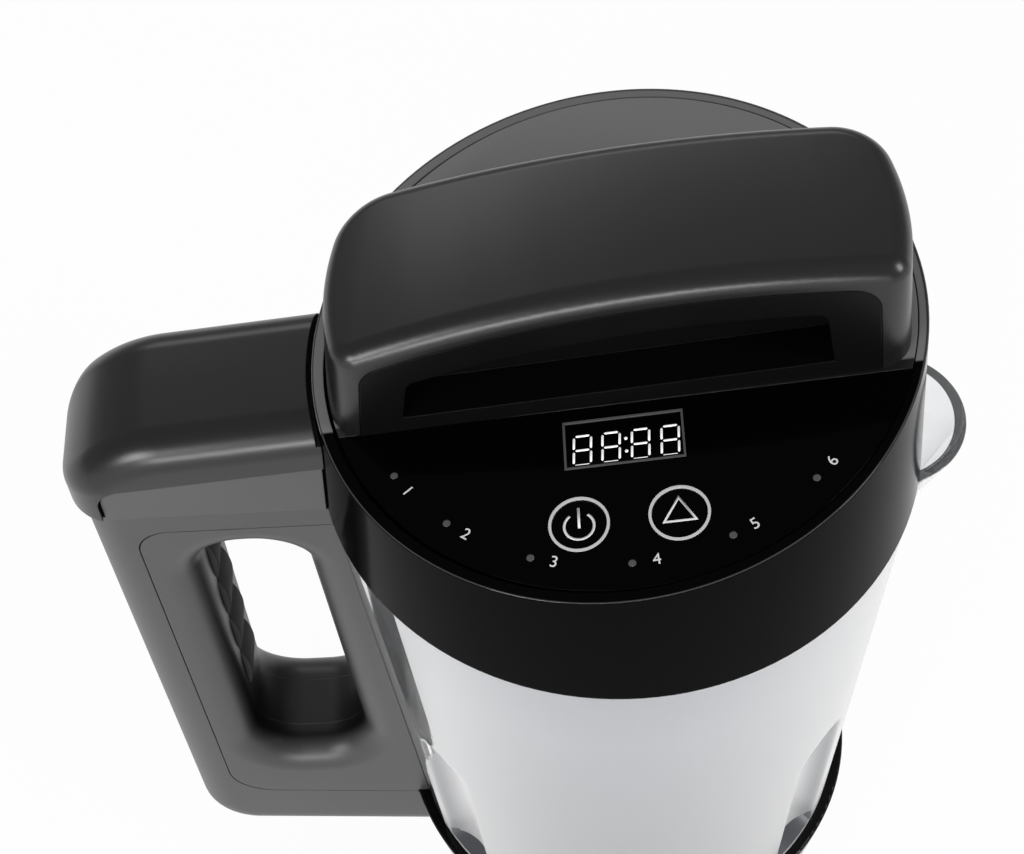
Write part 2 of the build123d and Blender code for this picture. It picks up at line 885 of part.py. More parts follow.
cover_screw_x = cover_radius - shelf_width - boss_radius - cover_screw_inset
with BuildPart() as shelf:
    add(sloped_disc(cover_radius + collar_wall / 2, -cover_thickness - shelf_thickness, -cover_thickness))
    add(sloped_disc(cover_radius - shelf_width, -reach / 2, reach / 2), mode=Mode.SUBTRACT)
with BuildPart() as cover_bosses:
    with BuildSketch(sloped(-cover_thickness)):
        with GridLocations(cover_screw_x * 2, 0, 2, 1):
            Circle(cover_boss_radius)
            Circle(screw_radius + fit_gap, mode=Mode.SUBTRACT)
    extrude(amount=-screw_length)
with BuildPart() as head_collar:
    add(collar_outer)
    split(bisect_by=sloped(0), keep=Keep.BOTTOM)
    add(collar_hollow, mode=Mode.SUBTRACT)
    add(shelf.part)
    add(cover_seat, mode=Mode.SUBTRACT)
    add(cover_bosses.part)
    add(collar_groove, mode=Mode.SUBTRACT)
head_collar.part.label = "head_collar"
export_step(head_collar.part, "parts/head_collar.step")

# Top cover with its recess for the panel, openings below it and posts for the board
panel_edge_y = bridge_front_y - seam
panel_step = sloped_disc(reach, -panel_thickness, over)
with BuildPart() as panel_room:
    add(panel_step)
    split(bisect_by=Plane.XZ.offset(-panel_edge_y), keep=Keep.TOP)
board_x = board_width / 2 - post_radius
board_half_y = board_depth / 2 - post_radius
with BuildPart() as top_cover:
    add(sloped_disc(cover_radius - seam, -cover_thickness, 0))
    add(panel_room.part, mode=Mode.SUBTRACT)
    with BuildSketch(sloped(over)):
        with Locations((0, display_y)):
            Rectangle(display_width - display_line * 4, display_height - display_line * 4)
        with Locations((-button_x, button_y), (button_x, button_y)):
            Circle(ring_radius - ring_width / 2)
        for angle in light_angles:
            with PolarLocations(light_ring_radius, 1, start_angle=angle):
                Circle(light_radius + fit_gap)
    extrude(amount=-cover_thickness * 2, mode=Mode.SUBTRACT)
    with BuildSketch(sloped(over)):
        with GridLocations(cover_screw_x * 2, 0, 2, 1):
            Circle(screw_radius + fit_gap)
    extrude(amount=-cover_thickness * 2, mode=Mode.SUBTRACT)
    with BuildSketch(sloped(-cover_thickness)):
        with Locations((0, board_y)):
            with GridLocations(board_x * 2, board_half_y * 2, 2, 2):
                Circle(post_radius)
    extrude(amount=-(board_drop - cover_thickness))
top_cover.part.label = "top_cover"
export_step(top_cover.part, "parts/top_cover.step")

with BuildPart() as cover_screws:
    with BuildSketch(sloped(0)):
        with GridLocations(cover_screw_x * 2, 0, 2, 1):
            Circle(screw_radius)
    extrude(amount=-screw_length)
    with BuildSketch(sloped(0)):
        with GridLocations(cover_screw_x * 2, 0, 2, 1):
            Circle(cover_head_radius)
    extrude(amount=screw_head)
cover_screws.part.label = "cover_screws"
export_step(cover_screws.part, "parts/cover_screws.step")

with BuildPart() as control_panel:
    add(sloped_disc(cover_radius - seam, -panel_thickness, 0))
    split(bisect_by=Plane.XZ.offset(-panel_edge_y + seam / 2), keep=Keep.TOP)
    with BuildSketch(sloped(over)):
        with Locations((0, display_y)):
            Rectangle(display_width, display_height)
        with Locations((-button_x, button_y), (button_x, button_y)):
            Circle(ring_radius + fit_gap)
        for angle in light_angles:
            with PolarLocations(light_ring_radius, 1, start_angle=angle):
                Circle(light_radius + fit_gap)
    extrude(amount=-panel_thickness * 3, mode=Mode.SUBTRACT)
control_panel.part.label = "control_panel"
export_step(control_panel.part, "parts/control_panel.step")

# Display: a thin frame, a dark window, and the lit module on the board
with BuildPart() as display_frame:
    with BuildSketch(sloped(display_proud)):
        with Locations((0, display_y)):
            Rectangle(display_width - fit_gap * 2, display_height - fit_gap * 2)
            Rectangle(
                display_width - display_line * 2,
                display_height - display_line * 2,
                mode=Mode.SUBTRACT,
            )
    extrude(amount=-panel_thickness - display_proud)
display_frame.part.label = "display_frame"
export_step(display_frame.part, "parts/display_frame.step")

with BuildPart() as display_window:
    with BuildSketch(sloped(-display_proud)):
        with Locations((0, display_y)):
            Rectangle(
                display_width - display_line * 2 - fit_gap * 2,
                display_height - display_line * 2 - fit_gap * 2,
            )
    extrude(amount=-panel_thickness + display_proud)
display_window.part.label = "display_window"
export_step(display_window.part, "parts/display_window.step")

with BuildPart() as display_module:
    with BuildSketch(sloped(-board_drop)):
        with Locations((0, display_y)):
            Rectangle(
                display_width - display_line * 4 - fit_gap * 4,
                display_height - display_line * 4 - fit_gap * 4,
            )
    extrude(amount=board_drop - panel_thickness - fit_gap)
display_module.part.label = "display_module"
export_step(display_module.part, "parts/display_module.step")

with BuildPart() as control_board:
    with BuildSketch(sloped(-board_drop)):
        with Locations((0, board_y)):
            Rectangle(board_width, board_depth)
    extrude(amount=-board_thickness)
control_board.part.label = "control_board"
export_step(control_board.part, "parts/control_board.step")

with BuildPart() as button_switches:
    with BuildSketch(sloped(-board_drop)):
        with Locations((-button_x, button_y), (button_x, button_y)):
            Rectangle(switch_side, switch_side)
    extrude(amount=switch_height)
button_switches.part.label = "button_switches"
export_step(button_switches.part, "parts/button_switches.step")

with BuildPart() as indicator_lights:
    with BuildSketch(sloped(0)):
        for angle in light_angles:
            with PolarLocations(light_ring_radius, 1, start_angle=angle):
                Circle(light_radius)
    extrude(amount=-light_length)
indicator_lights.part.label = "indicator_lights"
export_step(indicator_lights.part, "parts/indicator_lights.step")

with BuildPart() as button_rings:
    with BuildSketch(sloped(display_proud)):
        with Locations((-button_x, button_y), (button_x, button_y)):
            Circle(ring_radius)
        with Locations((-button_x, button_y), (button_x, button_y)):
            Circle(ring_radius - ring_width, mode=Mode.SUBTRACT)
    extrude(amount=-panel_thickness - display_proud)
button_rings.part.label = "button_rings"
export_step(button_rings.part, "parts/button_rings.step")

stem_end = board_drop - switch_height - button_travel - display_proud


def press_button(x):
    """A round button with the stem that reaches its switch."""
    with BuildPart() as button:
        with BuildSketch(sloped(0)):
            with Locations((x, button_y)):
                Circle(button_radius)
        extrude(amount=-cover_thickness)
        with BuildSketch(sloped(-cover_thickness)):
            with Locations((x, button_y)):
                Circle(stem_radius)
        extrude(amount=-(stem_end - cover_thickness))
    return button.part


with BuildPart() as power_button:
    add(press_button(-button_x))
power_button.part.label = "power_button"
export_step(power_button.part, "parts/power_button.step")

with BuildPart() as select_button:
    add(press_button(button_x))
select_button.part.label = "select_button"
export_step(select_button.part, "parts/select_button.step")


# Bridge handle: a drafted loaf across the head under an arched crown
bridge_middle_y = (bridge_front_y + bridge_rear_y) / 2
bridge_base_z = rim_z + bridge_start
bridge_flare = (collar_height - bridge_start) * tan(radians(bridge_draft))
face_z = rim_z + collar_height


def top_z(x, y):
    """Height of the head's sloped top at a place."""
    return face_z + tan(radians(top_slope_x)) * x + tan(radians(top_slope_y)) * y


def crown_z(x):
    """Height of the bridge's crown at a place along it."""
    share = x / bridge_radius
    rise = (crown_right - crown_left) / 2
    sag = (crown_right + crown_left) / 2 - crown_middle
    return rim_z + crown_middle + rise * share + sag * share**2


def bridge_loaf(inset):
    """The bridge's outside, or with an inset its inside."""
    half = bridge_radius + bridge_flare - inset
    span = bridge_radius + recess_depth
    depth = bridge_rear_y - bridge_front_y + (bridge_flare - inset) * 2
    with BuildPart() as loaf:
        with BuildSketch(Plane.XY.offset(bridge_base_z)) as plan:
            Circle(half)
            with Locations((0, bridge_middle_y)):
                Rectangle(half * 2, depth, mode=Mode.INTERSECT)
            corners = plan.vertices().sort_by(Axis.Y)
            fillet(corners[:2], radius=bridge_front_corner + bridge_flare - inset)
            corners = plan.vertices().sort_by(Axis.Y)
            fillet(corners[-2:], radius=bridge_rear_corner + bridge_flare - inset)
        extrude(amount=crown_right, taper=bridge_draft)
        with BuildSketch(Plane.XZ):
            with BuildLine():
                left, middle, right = [(place, crown_z(place) - inset) for place in (-span, 0, span)]
                ThreePointArc(left, middle, right)
                Polyline(right, (span, rim_z), (-span, rim_z), left)
            make_face()
        extrude(amount=reach, both=True, mode=Mode.INTERSECT)
        top_edges = loaf.faces().sort_by(Axis.Z)[-1].edges()
        fillet(top_edges, radius=bridge_edge - inset)
        split(bisect_by=sloped(0), keep=Keep.TOP)
    return loaf.part


bridge_outer = bridge_loaf(0)
bridge_inner = bridge_loaf(bridge_wall)


def face_plane(facing):
    """The plane of the bridge's leaning front face, or of its rear face."""
    lean = radians(bridge_draft)
    face_y = bridge_front_y if facing > 0 else bridge_rear_y
    return Plane(
        origin=(0, face_y, face_z),
        x_dir=(facing, 0, 0),
        z_dir=(0, -facing * cos(lean), sin(lean)),
    )


def arched_outline(facing, half_width, drop, sill, draft, corner, grown):
    """An outline on a face, parallel to the crown above and to the slope below."""
    face_y = bridge_front_y if facing > 0 else bridge_rear_y
    pinch = tan(radians(draft))
    points = []
    for place in (-half_width, 0, half_width):
        high = crown_z(place) - drop - face_z
        points.append((facing * (place - place / half_width * high * pinch), high + grown))
    if facing < 0:
        points.reverse()
    low = [top_z(facing * side * half_width, face_y) + sill - face_z for side in (-1, 1)]
    with BuildSketch() as outline:
        with BuildLine():
            left, middle, right = points
            left = (left[0] - grown, left[1])
            right = (right[0] + grown, right[1])
            ThreePointArc(left, middle, right)
            Polyline(
                right,
                (half_width + grown - low[1] * pinch, low[1] - grown),
                (-half_width - grown + low[0] * pinch, low[0] - grown),
                left,
            )
        make_face()
        upper = outline.vertices().filter_by(lambda vertex: abs(vertex.Y - left[1]) < fit_gap)
        upper += outline.vertices().filter_by(lambda vertex: abs(vertex.Y - right[1]) < fit_gap)
        fillet(upper, radius=corner + grown)
    return outline.sketch


def side_trim(facing):
    """How much narrower the plate on the bridge's more rounded rear is."""
    return 0 if facing > 0 else rear_insert_trim


def bridge_insert(facing):
    """A face plate with the finger recess moulded into it."""
    plane = face_plane(facing)
    half_width = insert_half_width - side_trim(facing)
    recess_half = recess_half_width - side_trim(facing)
    with BuildPart() as insert:
        with BuildSketch(plane):
            add(arched_outline(facing, half_width, insert_drop, 0, bridge_draft, insert_corner, 0))
        extrude(amount=-bridge_wall)
        recess_top = insert_drop + recess_drop
        recess = (facing, recess_half, recess_top, recess_sill, recess_draft, recess_corner)
        with BuildSketch(plane):
            add(arched_outline(*recess, insert_wall))
        extrude(amount=-recess_depth - insert_wall)
        with BuildSketch(plane):
            add(arched_outline(*recess, 0))
        extrude(amount=-recess_depth, mode=Mode.SUBTRACT)
        split(bisect_by=sloped(0), keep=Keep.TOP)
    return insert.part


with BuildPart() as bridge_handle:
    add(bridge_outer)
    add(bridge_inner, mode=Mode.SUBTRACT)
    for facing in (1, -1):
        with BuildSketch(face_plane(facing)):
            add(
                arched_outline(
                    facing,
                    insert_half_width - side_trim(facing),
                    insert_drop,
                    -bridge_wall,
                    bridge_draft,
                    insert_corner,
                    wall_gap,
                )
            )
        extrude(amount=bridge_wall * 2, both=True, mode=Mode.SUBTRACT)
bridge_handle.part.label = "bridge_handle"
export_step(bridge_handle.part, "parts/bridge_handle.step")

with BuildPart() as bridge_front_insert:
    add(bridge_insert(1))
bridge_front_insert.part.label = "bridge_front_insert"
export_step(bridge_front_insert.part, "parts/bridge_front_insert.step")

with BuildPart() as bridge_rear_insert:
    add(bridge_insert(-1))
bridge_rear_insert.part.label = "bridge_rear_insert"
export_step(bridge_rear_insert.part, "parts/bridge_rear_insert.step")

# Connector cap on the head, over the handle's socket, with the plug under it
socket_end_gap_x = socket_end_x - lid_gap * 2
cap_end_x = handle_outer_x - cap_reach
cap_crown_x = cap_end_x + cap_fall_length
cap_half_width = handle_half_width + cap_overhang
slope_top = sloped(0)
cap_side_plane = Plane(origin=slope_top.origin, x_dir=slope_top.x_dir, z_dir=-slope_top.y_dir)


def socket_space(rise, end_x, corner):
    """The socket's side profile, carried across the handle."""
    with BuildPart() as space:
        with BuildSketch(Plane.XZ):
            with BuildLine():
                Polyline(
                    (end_x, rim_z - over), (0, rim_z - over), (0, face_z), (end_x, face_z), close=True
                )
            make_face()
        extrude(amount=cap_half_width + over, both=True)
        split(bisect_by=sloped(rise - socket_drop), keep=Keep.BOTTOM)
        end_edge = space.faces().sort_by(Axis.X)[0].edges().sort_by(Axis.Z)[-1]
        fillet(end_edge, radius=corner)
    return space.part


with BuildPart() as collar_gap:
    add(
        turned(
            [
                (0, rim_z - over),
                (collar_radius + wall_gap, rim_z - over),
                (collar_radius + wall_gap, rim_z + lid_gap),
                (collar_radius + wall_gap - taper * reach / 2, rim_z + reach / 2),
                (0, rim_z + reach / 2),
            ]
        )
    )
with BuildPart() as cap_groove_cut:
    add(
        turned(
            [
                (0, rim_z + lid_gap),
                (collar_radius + cap_groove, rim_z + lid_gap),
                (collar_radius + cap_groove - taper * reach / 2, rim_z + reach / 2),
                (0, rim_z + reach / 2),
            ]
        )
    )
    split(bisect_by=sloped(-cap_groove_depth), keep=Keep.TOP)
with BuildPart() as connector_cap:
    with BuildSketch(Plane.XY.offset(rim_z + lid_gap)):
        add(end_plan(cap_end_x, cap_half_width, cap_corner))
    extrude(amount=collar_height)
    with BuildSketch(cap_side_plane):
        with BuildLine():
            crown_centre = (cap_crown_x, -cap_crown_radius)
            crown = CenterArc(crown_centre, cap_crown_radius, half_quarter * 2, cap_crown_angle)
            Polyline(crown @ 1, ((crown @ 1).X, -reach), (0, -reach), (0, 0), crown @ 0)
        make_face()
    extrude(amount=reach, both=True, mode=Mode.INTERSECT)
    cap_top = connector_cap.edges().filter_by(Axis.Z, reverse=True).filter_by(
        lambda edge: edge.center().Z > rim_z + lid_gap + over
        and (abs(edge.center().Y) > over or edge.center().X < cap_end_x + over)
    )
    fillet(cap_top, radius=cap_edge)
    add(socket_space(socket_gap, socket_end_gap_x, socket_corner + socket_gap), mode=Mode.SUBTRACT)
    add(collar_gap.part, mode=Mode.SUBTRACT)
    add(cap_groove_cut.part, mode=Mode.SUBTRACT)
connector_cap.part.label = "connector_cap"
export_step(connector_cap.part, "parts/connector_cap.step")

with BuildPart() as connector_plug:
    with BuildSketch(Plane.XY.offset(rim_z + plug_lift)):
        with Locations((plug_x, 0)):
            Rectangle(plug_length, plug_width)
            Rectangle(plug_length - plug_wall * 2, plug_width - plug_wall * 2, mode=Mode.SUBTRACT)
    extrude(amount=collar_height)
    with BuildSketch(Plane.XY.offset(rim_z + plug_lift)):
        with Locations((plug_x, 0)):
            Rectangle(plug_length - plug_wall, plug_width - plug_wall)
            with GridLocations(pin_pitch, 0, pin_count, 1):
                Circle(pin_radius + fit_gap, mode=Mode.SUBTRACT)
    extrude(amount=plug_wall)
    split(bisect_by=sloped(socket_gap - socket_drop), keep=Keep.BOTTOM)
connector_plug.part.label = "connector_plug"
export_step(connector_plug.part, "parts/connector_plug.step")

with BuildPart() as plug_pins:
    with BuildSketch(Plane.XY.offset(rim_z - pin_length)):
        with Locations((plug_x, 0)):
            with GridLocations(pin_pitch, 0, pin_count, 1):
                Circle(pin_radius)
    extrude(amount=pin_length + plug_lift + plug_wall * 2)
    fillet(plug_pins.edges().group_by(Axis.Z)[0], radius=pin_radius / 2)
plug_pins.part.label = "plug_pins"
export_step(plug_pins.part, "parts/plug_pins.step")

# Lower housing: a plug into the jug's mouth with a cup for the motor
flange_low_z = groove_low_z + wall_gap / 2
plug_low_z = rim_z - plug_depth
cup_low_z = rim_z - motor_cup_depth
cup_floor_z = cup_low_z + housing_wall
boss_top_z = cup_floor_z + boss_height
cup_inner_radius = motor_cup_radius - housing_wall
with BuildPart() as lower_housing:
    with BuildSketch(Plane.XZ):
        with BuildLine():
            Polyline(
                (tube_radius + fit_gap, cup_low_z),
                (motor_cup_radius, cup_low_z),
                (motor_cup_radius, plug_low_z),
                (plug_radius, plug_low_z),
                (plug_radius, flange_low_z),
                (groove_radius - wall_gap, flange_low_z),
                (groove_radius - wall_gap, flange_low_z + housing_wall),
                (plug_radius - housing_wall, flange_low_z + housing_wall),
                (plug_radius - housing_wall, plug_low_z + housing_wall),
                (cup_inner_radius, plug_low_z + housing_wall),
                (cup_inner_radius, cup_floor_z),
                (tube_radius + fit_gap, cup_floor_z),
                close=True,
            )
        make_face()
    revolve(axis=Axis.Z)
    with BuildSketch(Plane.XY.offset(cup_floor_z)):
        with PolarLocations(motor_screw_place, motor_screws_count):
            Circle(cup_inner_radius - motor_screw_place + over)
    extrude(amount=boss_height)
    with BuildSketch(Plane.XY.offset(boss_top_z)):
        with PolarLocations(motor_screw_place, motor_screws_count):
            Circle(screw_radius + fit_gap)
    extrude(amount=-motor_screw_length + bracket_thickness, mode=Mode.SUBTRACT)
    with BuildSketch(Plane.XY.offset(plug_low_z)):
        with Locations((probe_x, 0)):
            Circle(probe_radius + fit_gap)
    extrude(amount=housing_wall, mode=Mode.SUBTRACT)
    corner_edges = lower_housing.edges().filter_by(GeomType.CIRCLE).group_by(Axis.Z)[0]
    fillet(corner_edges.sort_by(SortBy.RADIUS)[-1], radius=housing_wall)
lower_housing.part.label = "lower_housing"
export_step(lower_housing.part, "parts/lower_housing.step")

seal_high_z = rim_z - seal_top_drop
seal_low_z = seal_high_z - seal_height
seal_lip_radius = jug_radius(seal_high_z) - jug_wall - seal_gap
with BuildPart() as jug_seal:
    add(
        turned(
            [
                (plug_radius + fit_gap, seal_low_z),
                (plug_radius + seal_band, seal_low_z),
                (plug_radius + seal_band, seal_high_z - seal_lip * 2),
                (seal_lip_radius, seal_high_z - seal_lip),
                (seal_lip_radius, seal_high_z),
                (plug_radius + fit_gap, seal_high_z),
            ]
        )
    )
jug_seal.part.label = "jug_seal"
export_step(jug_seal.part, "parts/jug_seal.step")

# Motor: bracket, rubber mount, can with its stator, end cap and two bearings
bracket_top_z = boss_top_z + bracket_thickness
with BuildPart() as motor_bracket:
    with BuildSketch(Plane.XY.offset(boss_top_z)):
        Circle(bracket_radius)
        Circle(bracket_hole, mode=Mode.SUBTRACT)
        with PolarLocations(motor_screw_place, motor_screws_count):
            Circle(screw_radius + plate_gap, mode=Mode.SUBTRACT)
    extrude(amount=bracket_thickness)
motor_bracket.part.label = "motor_bracket"
export_step(motor_bracket.part, "parts/motor_bracket.step")

with BuildPart() as motor_screws:
    with BuildSketch(Plane.XY.offset(bracket_top_z)):
        with PolarLocations(motor_screw_place, motor_screws_count):
            Circle(screw_radius)
    extrude(amount=-motor_screw_length)
    with BuildSketch(Plane.XY.offset(bracket_top_z)):
        with PolarLocations(motor_screw_place, motor_screws_count):
            Circle(motor_head_radius)
    extrude(amount=motor_screw_head)
motor_screws.part.label = "motor_screws"
export_step(motor_screws.part, "parts/motor_screws.step")

can_low_z = bracket_top_z + mount_height
can_high_z = can_low_z + can_height
with BuildPart() as motor_mount:
    with BuildSketch(Plane.XY.offset(bracket_top_z)):
        Circle(can_radius - can_wall)
        Circle(mount_inner_radius, mode=Mode.SUBTRACT)
    extrude(amount=mount_height)
motor_mount.part.label = "motor_mount"
export_step(motor_mount.part, "parts/motor_mount.step")

can_floor_z = can_low_z + can_wall
lower_hub_z = can_floor_z + bearing_height
with BuildPart() as motor_can:
    with BuildSketch(Plane.XZ):
        with BuildLine():
            Polyline(
                (bearing_radius - bearing_hub, can_low_z),
                (can_radius, can_low_z),
                (can_radius, can_high_z),
                (can_radius - can_wall, can_high_z),
                (can_radius - can_wall, can_floor_z),
                (bearing_radius + bearing_hub, can_floor_z),
                (bearing_radius + bearing_hub, lower_hub_z),
                (bearing_radius + fit_gap, lower_hub_z),
                (bearing_radius + fit_gap, can_floor_z),
                (bearing_radius - bearing_hub, can_floor_z),
                close=True,
            )
        make_face()
    revolve(axis=Axis.Z)
    can_corner = motor_can.edges().filter_by(GeomType.CIRCLE).group_by(Axis.Z)[0]
    fillet(can_corner.sort_by(SortBy.RADIUS)[-1], radius=can_wall)
motor_can.part.label = "motor_can"
export_step(motor_can.part, "parts/motor_can.step")

with BuildPart() as motor_end_cap:
    with BuildSketch(Plane.XZ):
        with BuildLine():
            Polyline(
                (bearing_radius - bearing_hub, can_high_z),
                (bearing_radius + fit_gap, can_high_z),
                (bearing_radius + fit_gap, can_high_z - bearing_height),
                (bearing_radius + bearing_hub, can_high_z - bearing_height),
                (bearing_radius + bearing_hub, can_high_z),
                (can_radius, can_high_z),
                (can_radius, can_high_z + can_wall),
                (bearing_radius - bearing_hub, can_high_z + can_wall),
                close=True,
            )
        make_face()
    revolve(axis=Axis.Z)
    chamfer(motor_end_cap.edges().group_by(Axis.Z)[-1].sort_by(SortBy.RADIUS)[-1], length=can_wall / 2)
motor_end_cap.part.label = "motor_end_cap"
export_step(motor_end_cap.part, "parts/motor_end_cap.step")


def ring(inner_radius, outer_radius, low, height):
    """A plain round ring about the drive's axis."""
    with BuildPart() as solid:
        with BuildSketch(Plane.XY.offset(low)):
            Circle(outer_radius)
            Circle(inner_radius, mode=Mode.SUBTRACT)
        extrude(amount=height)
    return solid.part


with BuildPart() as lower_bearing:
    add(ring(shaft_radius + running_gap, bearing_radius, can_floor_z, bearing_height))
    chamfer(lower_bearing.edges().group_by(Axis.Z)[-1], length=can_wall / 4)
lower_bearing.part.label = "lower_bearing"
export_step(lower_bearing.part, "parts/lower_bearing.step")

with BuildPart() as upper_bearing:
    add(ring(shaft_radius + running_gap, bearing_radius, can_high_z - bearing_height, bearing_height))
    chamfer(upper_bearing.edges().group_by(Axis.Z)[0], length=can_wall / 4)
upper_bearing.part.label = "upper_bearing"
export_step(upper_bearing.part, "parts/upper_bearing.step")

rotor_middle_z = (lower_hub_z + can_high_z - bearing_height) / 2
with BuildPart() as motor_stator:
    stator_low_z = rotor_middle_z - stator_height / 2
    add(ring(stator_radius, stator_radius + stator_width, stator_low_z, stator_height))
    with BuildSketch(Plane.XY.offset(stator_low_z)):
        with PolarLocations(stator_radius + stator_width, stator_grooves):
            Circle(can_wall)
    extrude(amount=stator_height, mode=Mode.SUBTRACT)
motor_stator.part.label = "motor_stator"
export_step(motor_stator.part, "parts/motor_stator.step")

with BuildPart() as motor_rotor:
    low = rotor_middle_z - rotor_height / 2
    add(ring(shaft_radius + fit_gap, stator_radius - rotor_gap, low, rotor_height))
    with BuildSketch(Plane.XY.offset(low)):
        with PolarLocations(stator_radius - rotor_gap, rotor_slots):
            Rectangle(slot_depth, slot_width)
    extrude(amount=rotor_height, mode=Mode.SUBTRACT)
motor_rotor.part.label = "motor_rotor"
export_step(motor_rotor.part, "parts/motor_rotor.step")

blade_z = rim_z - blade_drop
nut_low_z = blade_z - blade_hub_height / 2 - nut_height
with BuildPart() as motor_shaft:
    with BuildSketch(Plane.XY.offset(nut_low_z + over)):
        Circle(shaft_radius)
    extrude(amount=rim_z + shaft_top - nut_low_z - over)
    end_edges = motor_shaft.edges().group_by(Axis.Z)
    chamfer(end_edges[0] + end_edges[-1], length=over / 2)
motor_shaft.part.label = "motor_shaft"
export_step(motor_shaft.part, "parts/motor_shaft.step")

with BuildPart() as cooling_fan:
    with BuildSketch(Plane.XY.offset(rim_z + fan_rise)):
        Circle(fan_radius)
    extrude(amount=fan_disc)
    with BuildSketch(Plane.XY.offset(rim_z + fan_rise)):
        Circle(fan_hub_radius)
        with PolarLocations((fan_radius + fan_hub_radius) / 2, fan_blades):
            Rectangle(fan_radius - fan_hub_radius, fan_disc, rotation=fan_lean)
    extrude(amount=fan_height)
    with BuildSketch(Plane.XY.offset(rim_z + fan_rise)):
        Circle(shaft_radius + fit_gap)
    extrude(amount=fan_height, mode=Mode.SUBTRACT)
cooling_fan.part.label = "cooling_fan"
export_step(cooling_fan.part, "parts/cooling_fan.step")

# Shaft tube with its bush, the guard round the blade, and the overflow probe
tube_end_z = rim_z - tube_end_drop
with BuildPart() as shaft_tube:
    with BuildSketch(Plane.XZ):
        with BuildLine():
            Polyline(
                (tube_radius - tube_wall, tube_end_z),
                (tube_radius, tube_end_z),
                (tube_radius, cup_low_z - tube_flange),
                (tube_flange_radius, cup_low_z - tube_flange),
                (tube_flange_radius, cup_low_z),
                (tube_radius, cup_low_z),
                (tube_radius, cup_floor_z),
                (tube_radius - tube_wall, cup_floor_z),
                close=True,
            )
        make_face()
    revolve(axis=Axis.Z)
    flange_low_edges = shaft_tube.edges().filter_by(
        lambda edge: abs(edge.center().Z - cup_low_z + tube_flange) < fit_gap
    )
    fillet(flange_low_edges, radius=tube_flange / 2)
shaft_tube.part.label = "shaft_tube"
export_step(shaft_tube.part, "parts/shaft_tube.step")

with BuildPart() as tube_bush:
    add(ring(shaft_radius + running_gap, tube_radius - tube_wall - fit_gap, tube_end_z, bush_height))
    chamfer(tube_bush.edges().group_by(Axis.Z)[-1], length=can_wall / 4)
tube_bush.part.label = "tube_bush"
export_step(tube_bush.part, "parts/tube_bush.step")

guard_low_z = tube_end_z - guard_height
with BuildPart() as blade_guard:
    with BuildSketch(Plane.XY.offset(guard_low_z)):
        Circle(guard_radius)
    extrude(amount=guard_height)
    fillet(blade_guard.edges().group_by(Axis.Z)[-1], radius=guard_wall * 2)
    with BuildSketch(Plane.XY.offset(guard_low_z)):
        Circle(guard_radius - guard_wall)
    extrude(amount=guard_height - guard_wall, mode=Mode.SUBTRACT)
    with BuildSketch(Plane.XY.offset(tube_end_z)):
        Circle(shaft_radius + guard_wall)
    extrude(amount=-guard_wall, mode=Mode.SUBTRACT)
    with PolarLocations(0, guard_windows):
        with BuildSketch(Plane.YZ.offset(guard_radius - guard_wall * 2)):
            with Locations((0, guard_low_z + guard_height / 2 - guard_wall)):
                RectangleRounded(guard_window_width, guard_window_height, guard_wall * 2)
        extrude(amount=guard_wall * 3, mode=Mode.SUBTRACT)
blade_guard.part.label = "blade_guard"
export_step(blade_guard.part, "parts/blade_guard.step")

wing_root = nut_radius + over / 2
with BuildPart() as blade:
    with BuildSketch(Plane.XY.offset(blade_z - blade_hub_height / 2)):
        Circle(blade_hub_radius)
    extrude(amount=blade_hub_height)
    for turn in range(blade_wings):
        side = 1 if turn % 2 == 0 else -1
        along = Vector(1, 0, 0).rotate(Axis.Z, 360 / blade_wings * turn)
        across = Vector(0, 1, 0).rotate(Axis.Z, 360 / blade_wings * turn)
        up = (Vector(0, 0, 1) * cos(radians(blade_pitch)) + across * sin(radians(blade_pitch))).normalized()
        middle = Vector(0, 0, blade_z + side * blade_thickness / 2)
        with BuildSketch(Plane(origin=middle, x_dir=along, z_dir=up)):
            with BuildLine():
                Polyline(
                    (wing_root, -blade_width / 2),
                    (blade_reach - blade_width / 2, -blade_width / 2),
                    (blade_reach, 0),
                    (blade_reach - blade_tip_cut, blade_width / 2),
                    (wing_root, blade_width / 2),
                    close=True,
                )
            make_face()
        extrude(amount=blade_thickness / 2, both=True)
    with BuildSketch(Plane.XY.offset(blade_z - blade_hub_height)):
        Circle(shaft_radius + fit_gap)
    extrude(amount=blade_hub_height * 2, mode=Mode.SUBTRACT)
blade.part.label = "blade"
export_step(blade.part, "parts/blade.step")

with BuildPart() as blade_nut:
    with BuildSketch(Plane.XY.offset(nut_low_z)):
        RegularPolygon(nut_radius, nut_side_count)
    extrude(amount=nut_height)
    fillet(blade_nut.edges().group_by(Axis.Z)[0], radius=nut_round)
    with BuildSketch(Plane.XY.offset(nut_low_z + over)):
        Circle(shaft_radius + fit_gap)
    extrude(amount=nut_height, mode=Mode.SUBTRACT)
blade_nut.part.label = "blade_nut"
export_step(blade_nut.part, "parts/blade_nut.step")

with BuildPart() as overflow_probe:
    with BuildSketch(Plane.XY.offset(plug_low_z + housing_wall)):
        with Locations((probe_x, 0)):
            Circle(probe_head_radius)
    extrude(amount=probe_head)
    with BuildSketch(Plane.XY.offset(plug_low_z + housing_wall)):
        with Locations((probe_x, 0)):
            Circle(probe_radius)
    extrude(amount=-probe_length)
    fillet(overflow_probe.edges().group_by(Axis.Z)[0], radius=probe_radius / 2)
overflow_probe.part.label = "overflow_probe"
export_step(overflow_probe.part, "parts/overflow_probe.step")
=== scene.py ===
import json
from math import cos, degrees, pi, radians, sin, sqrt, tan

import bpy
from mathutils import Matrix, Vector


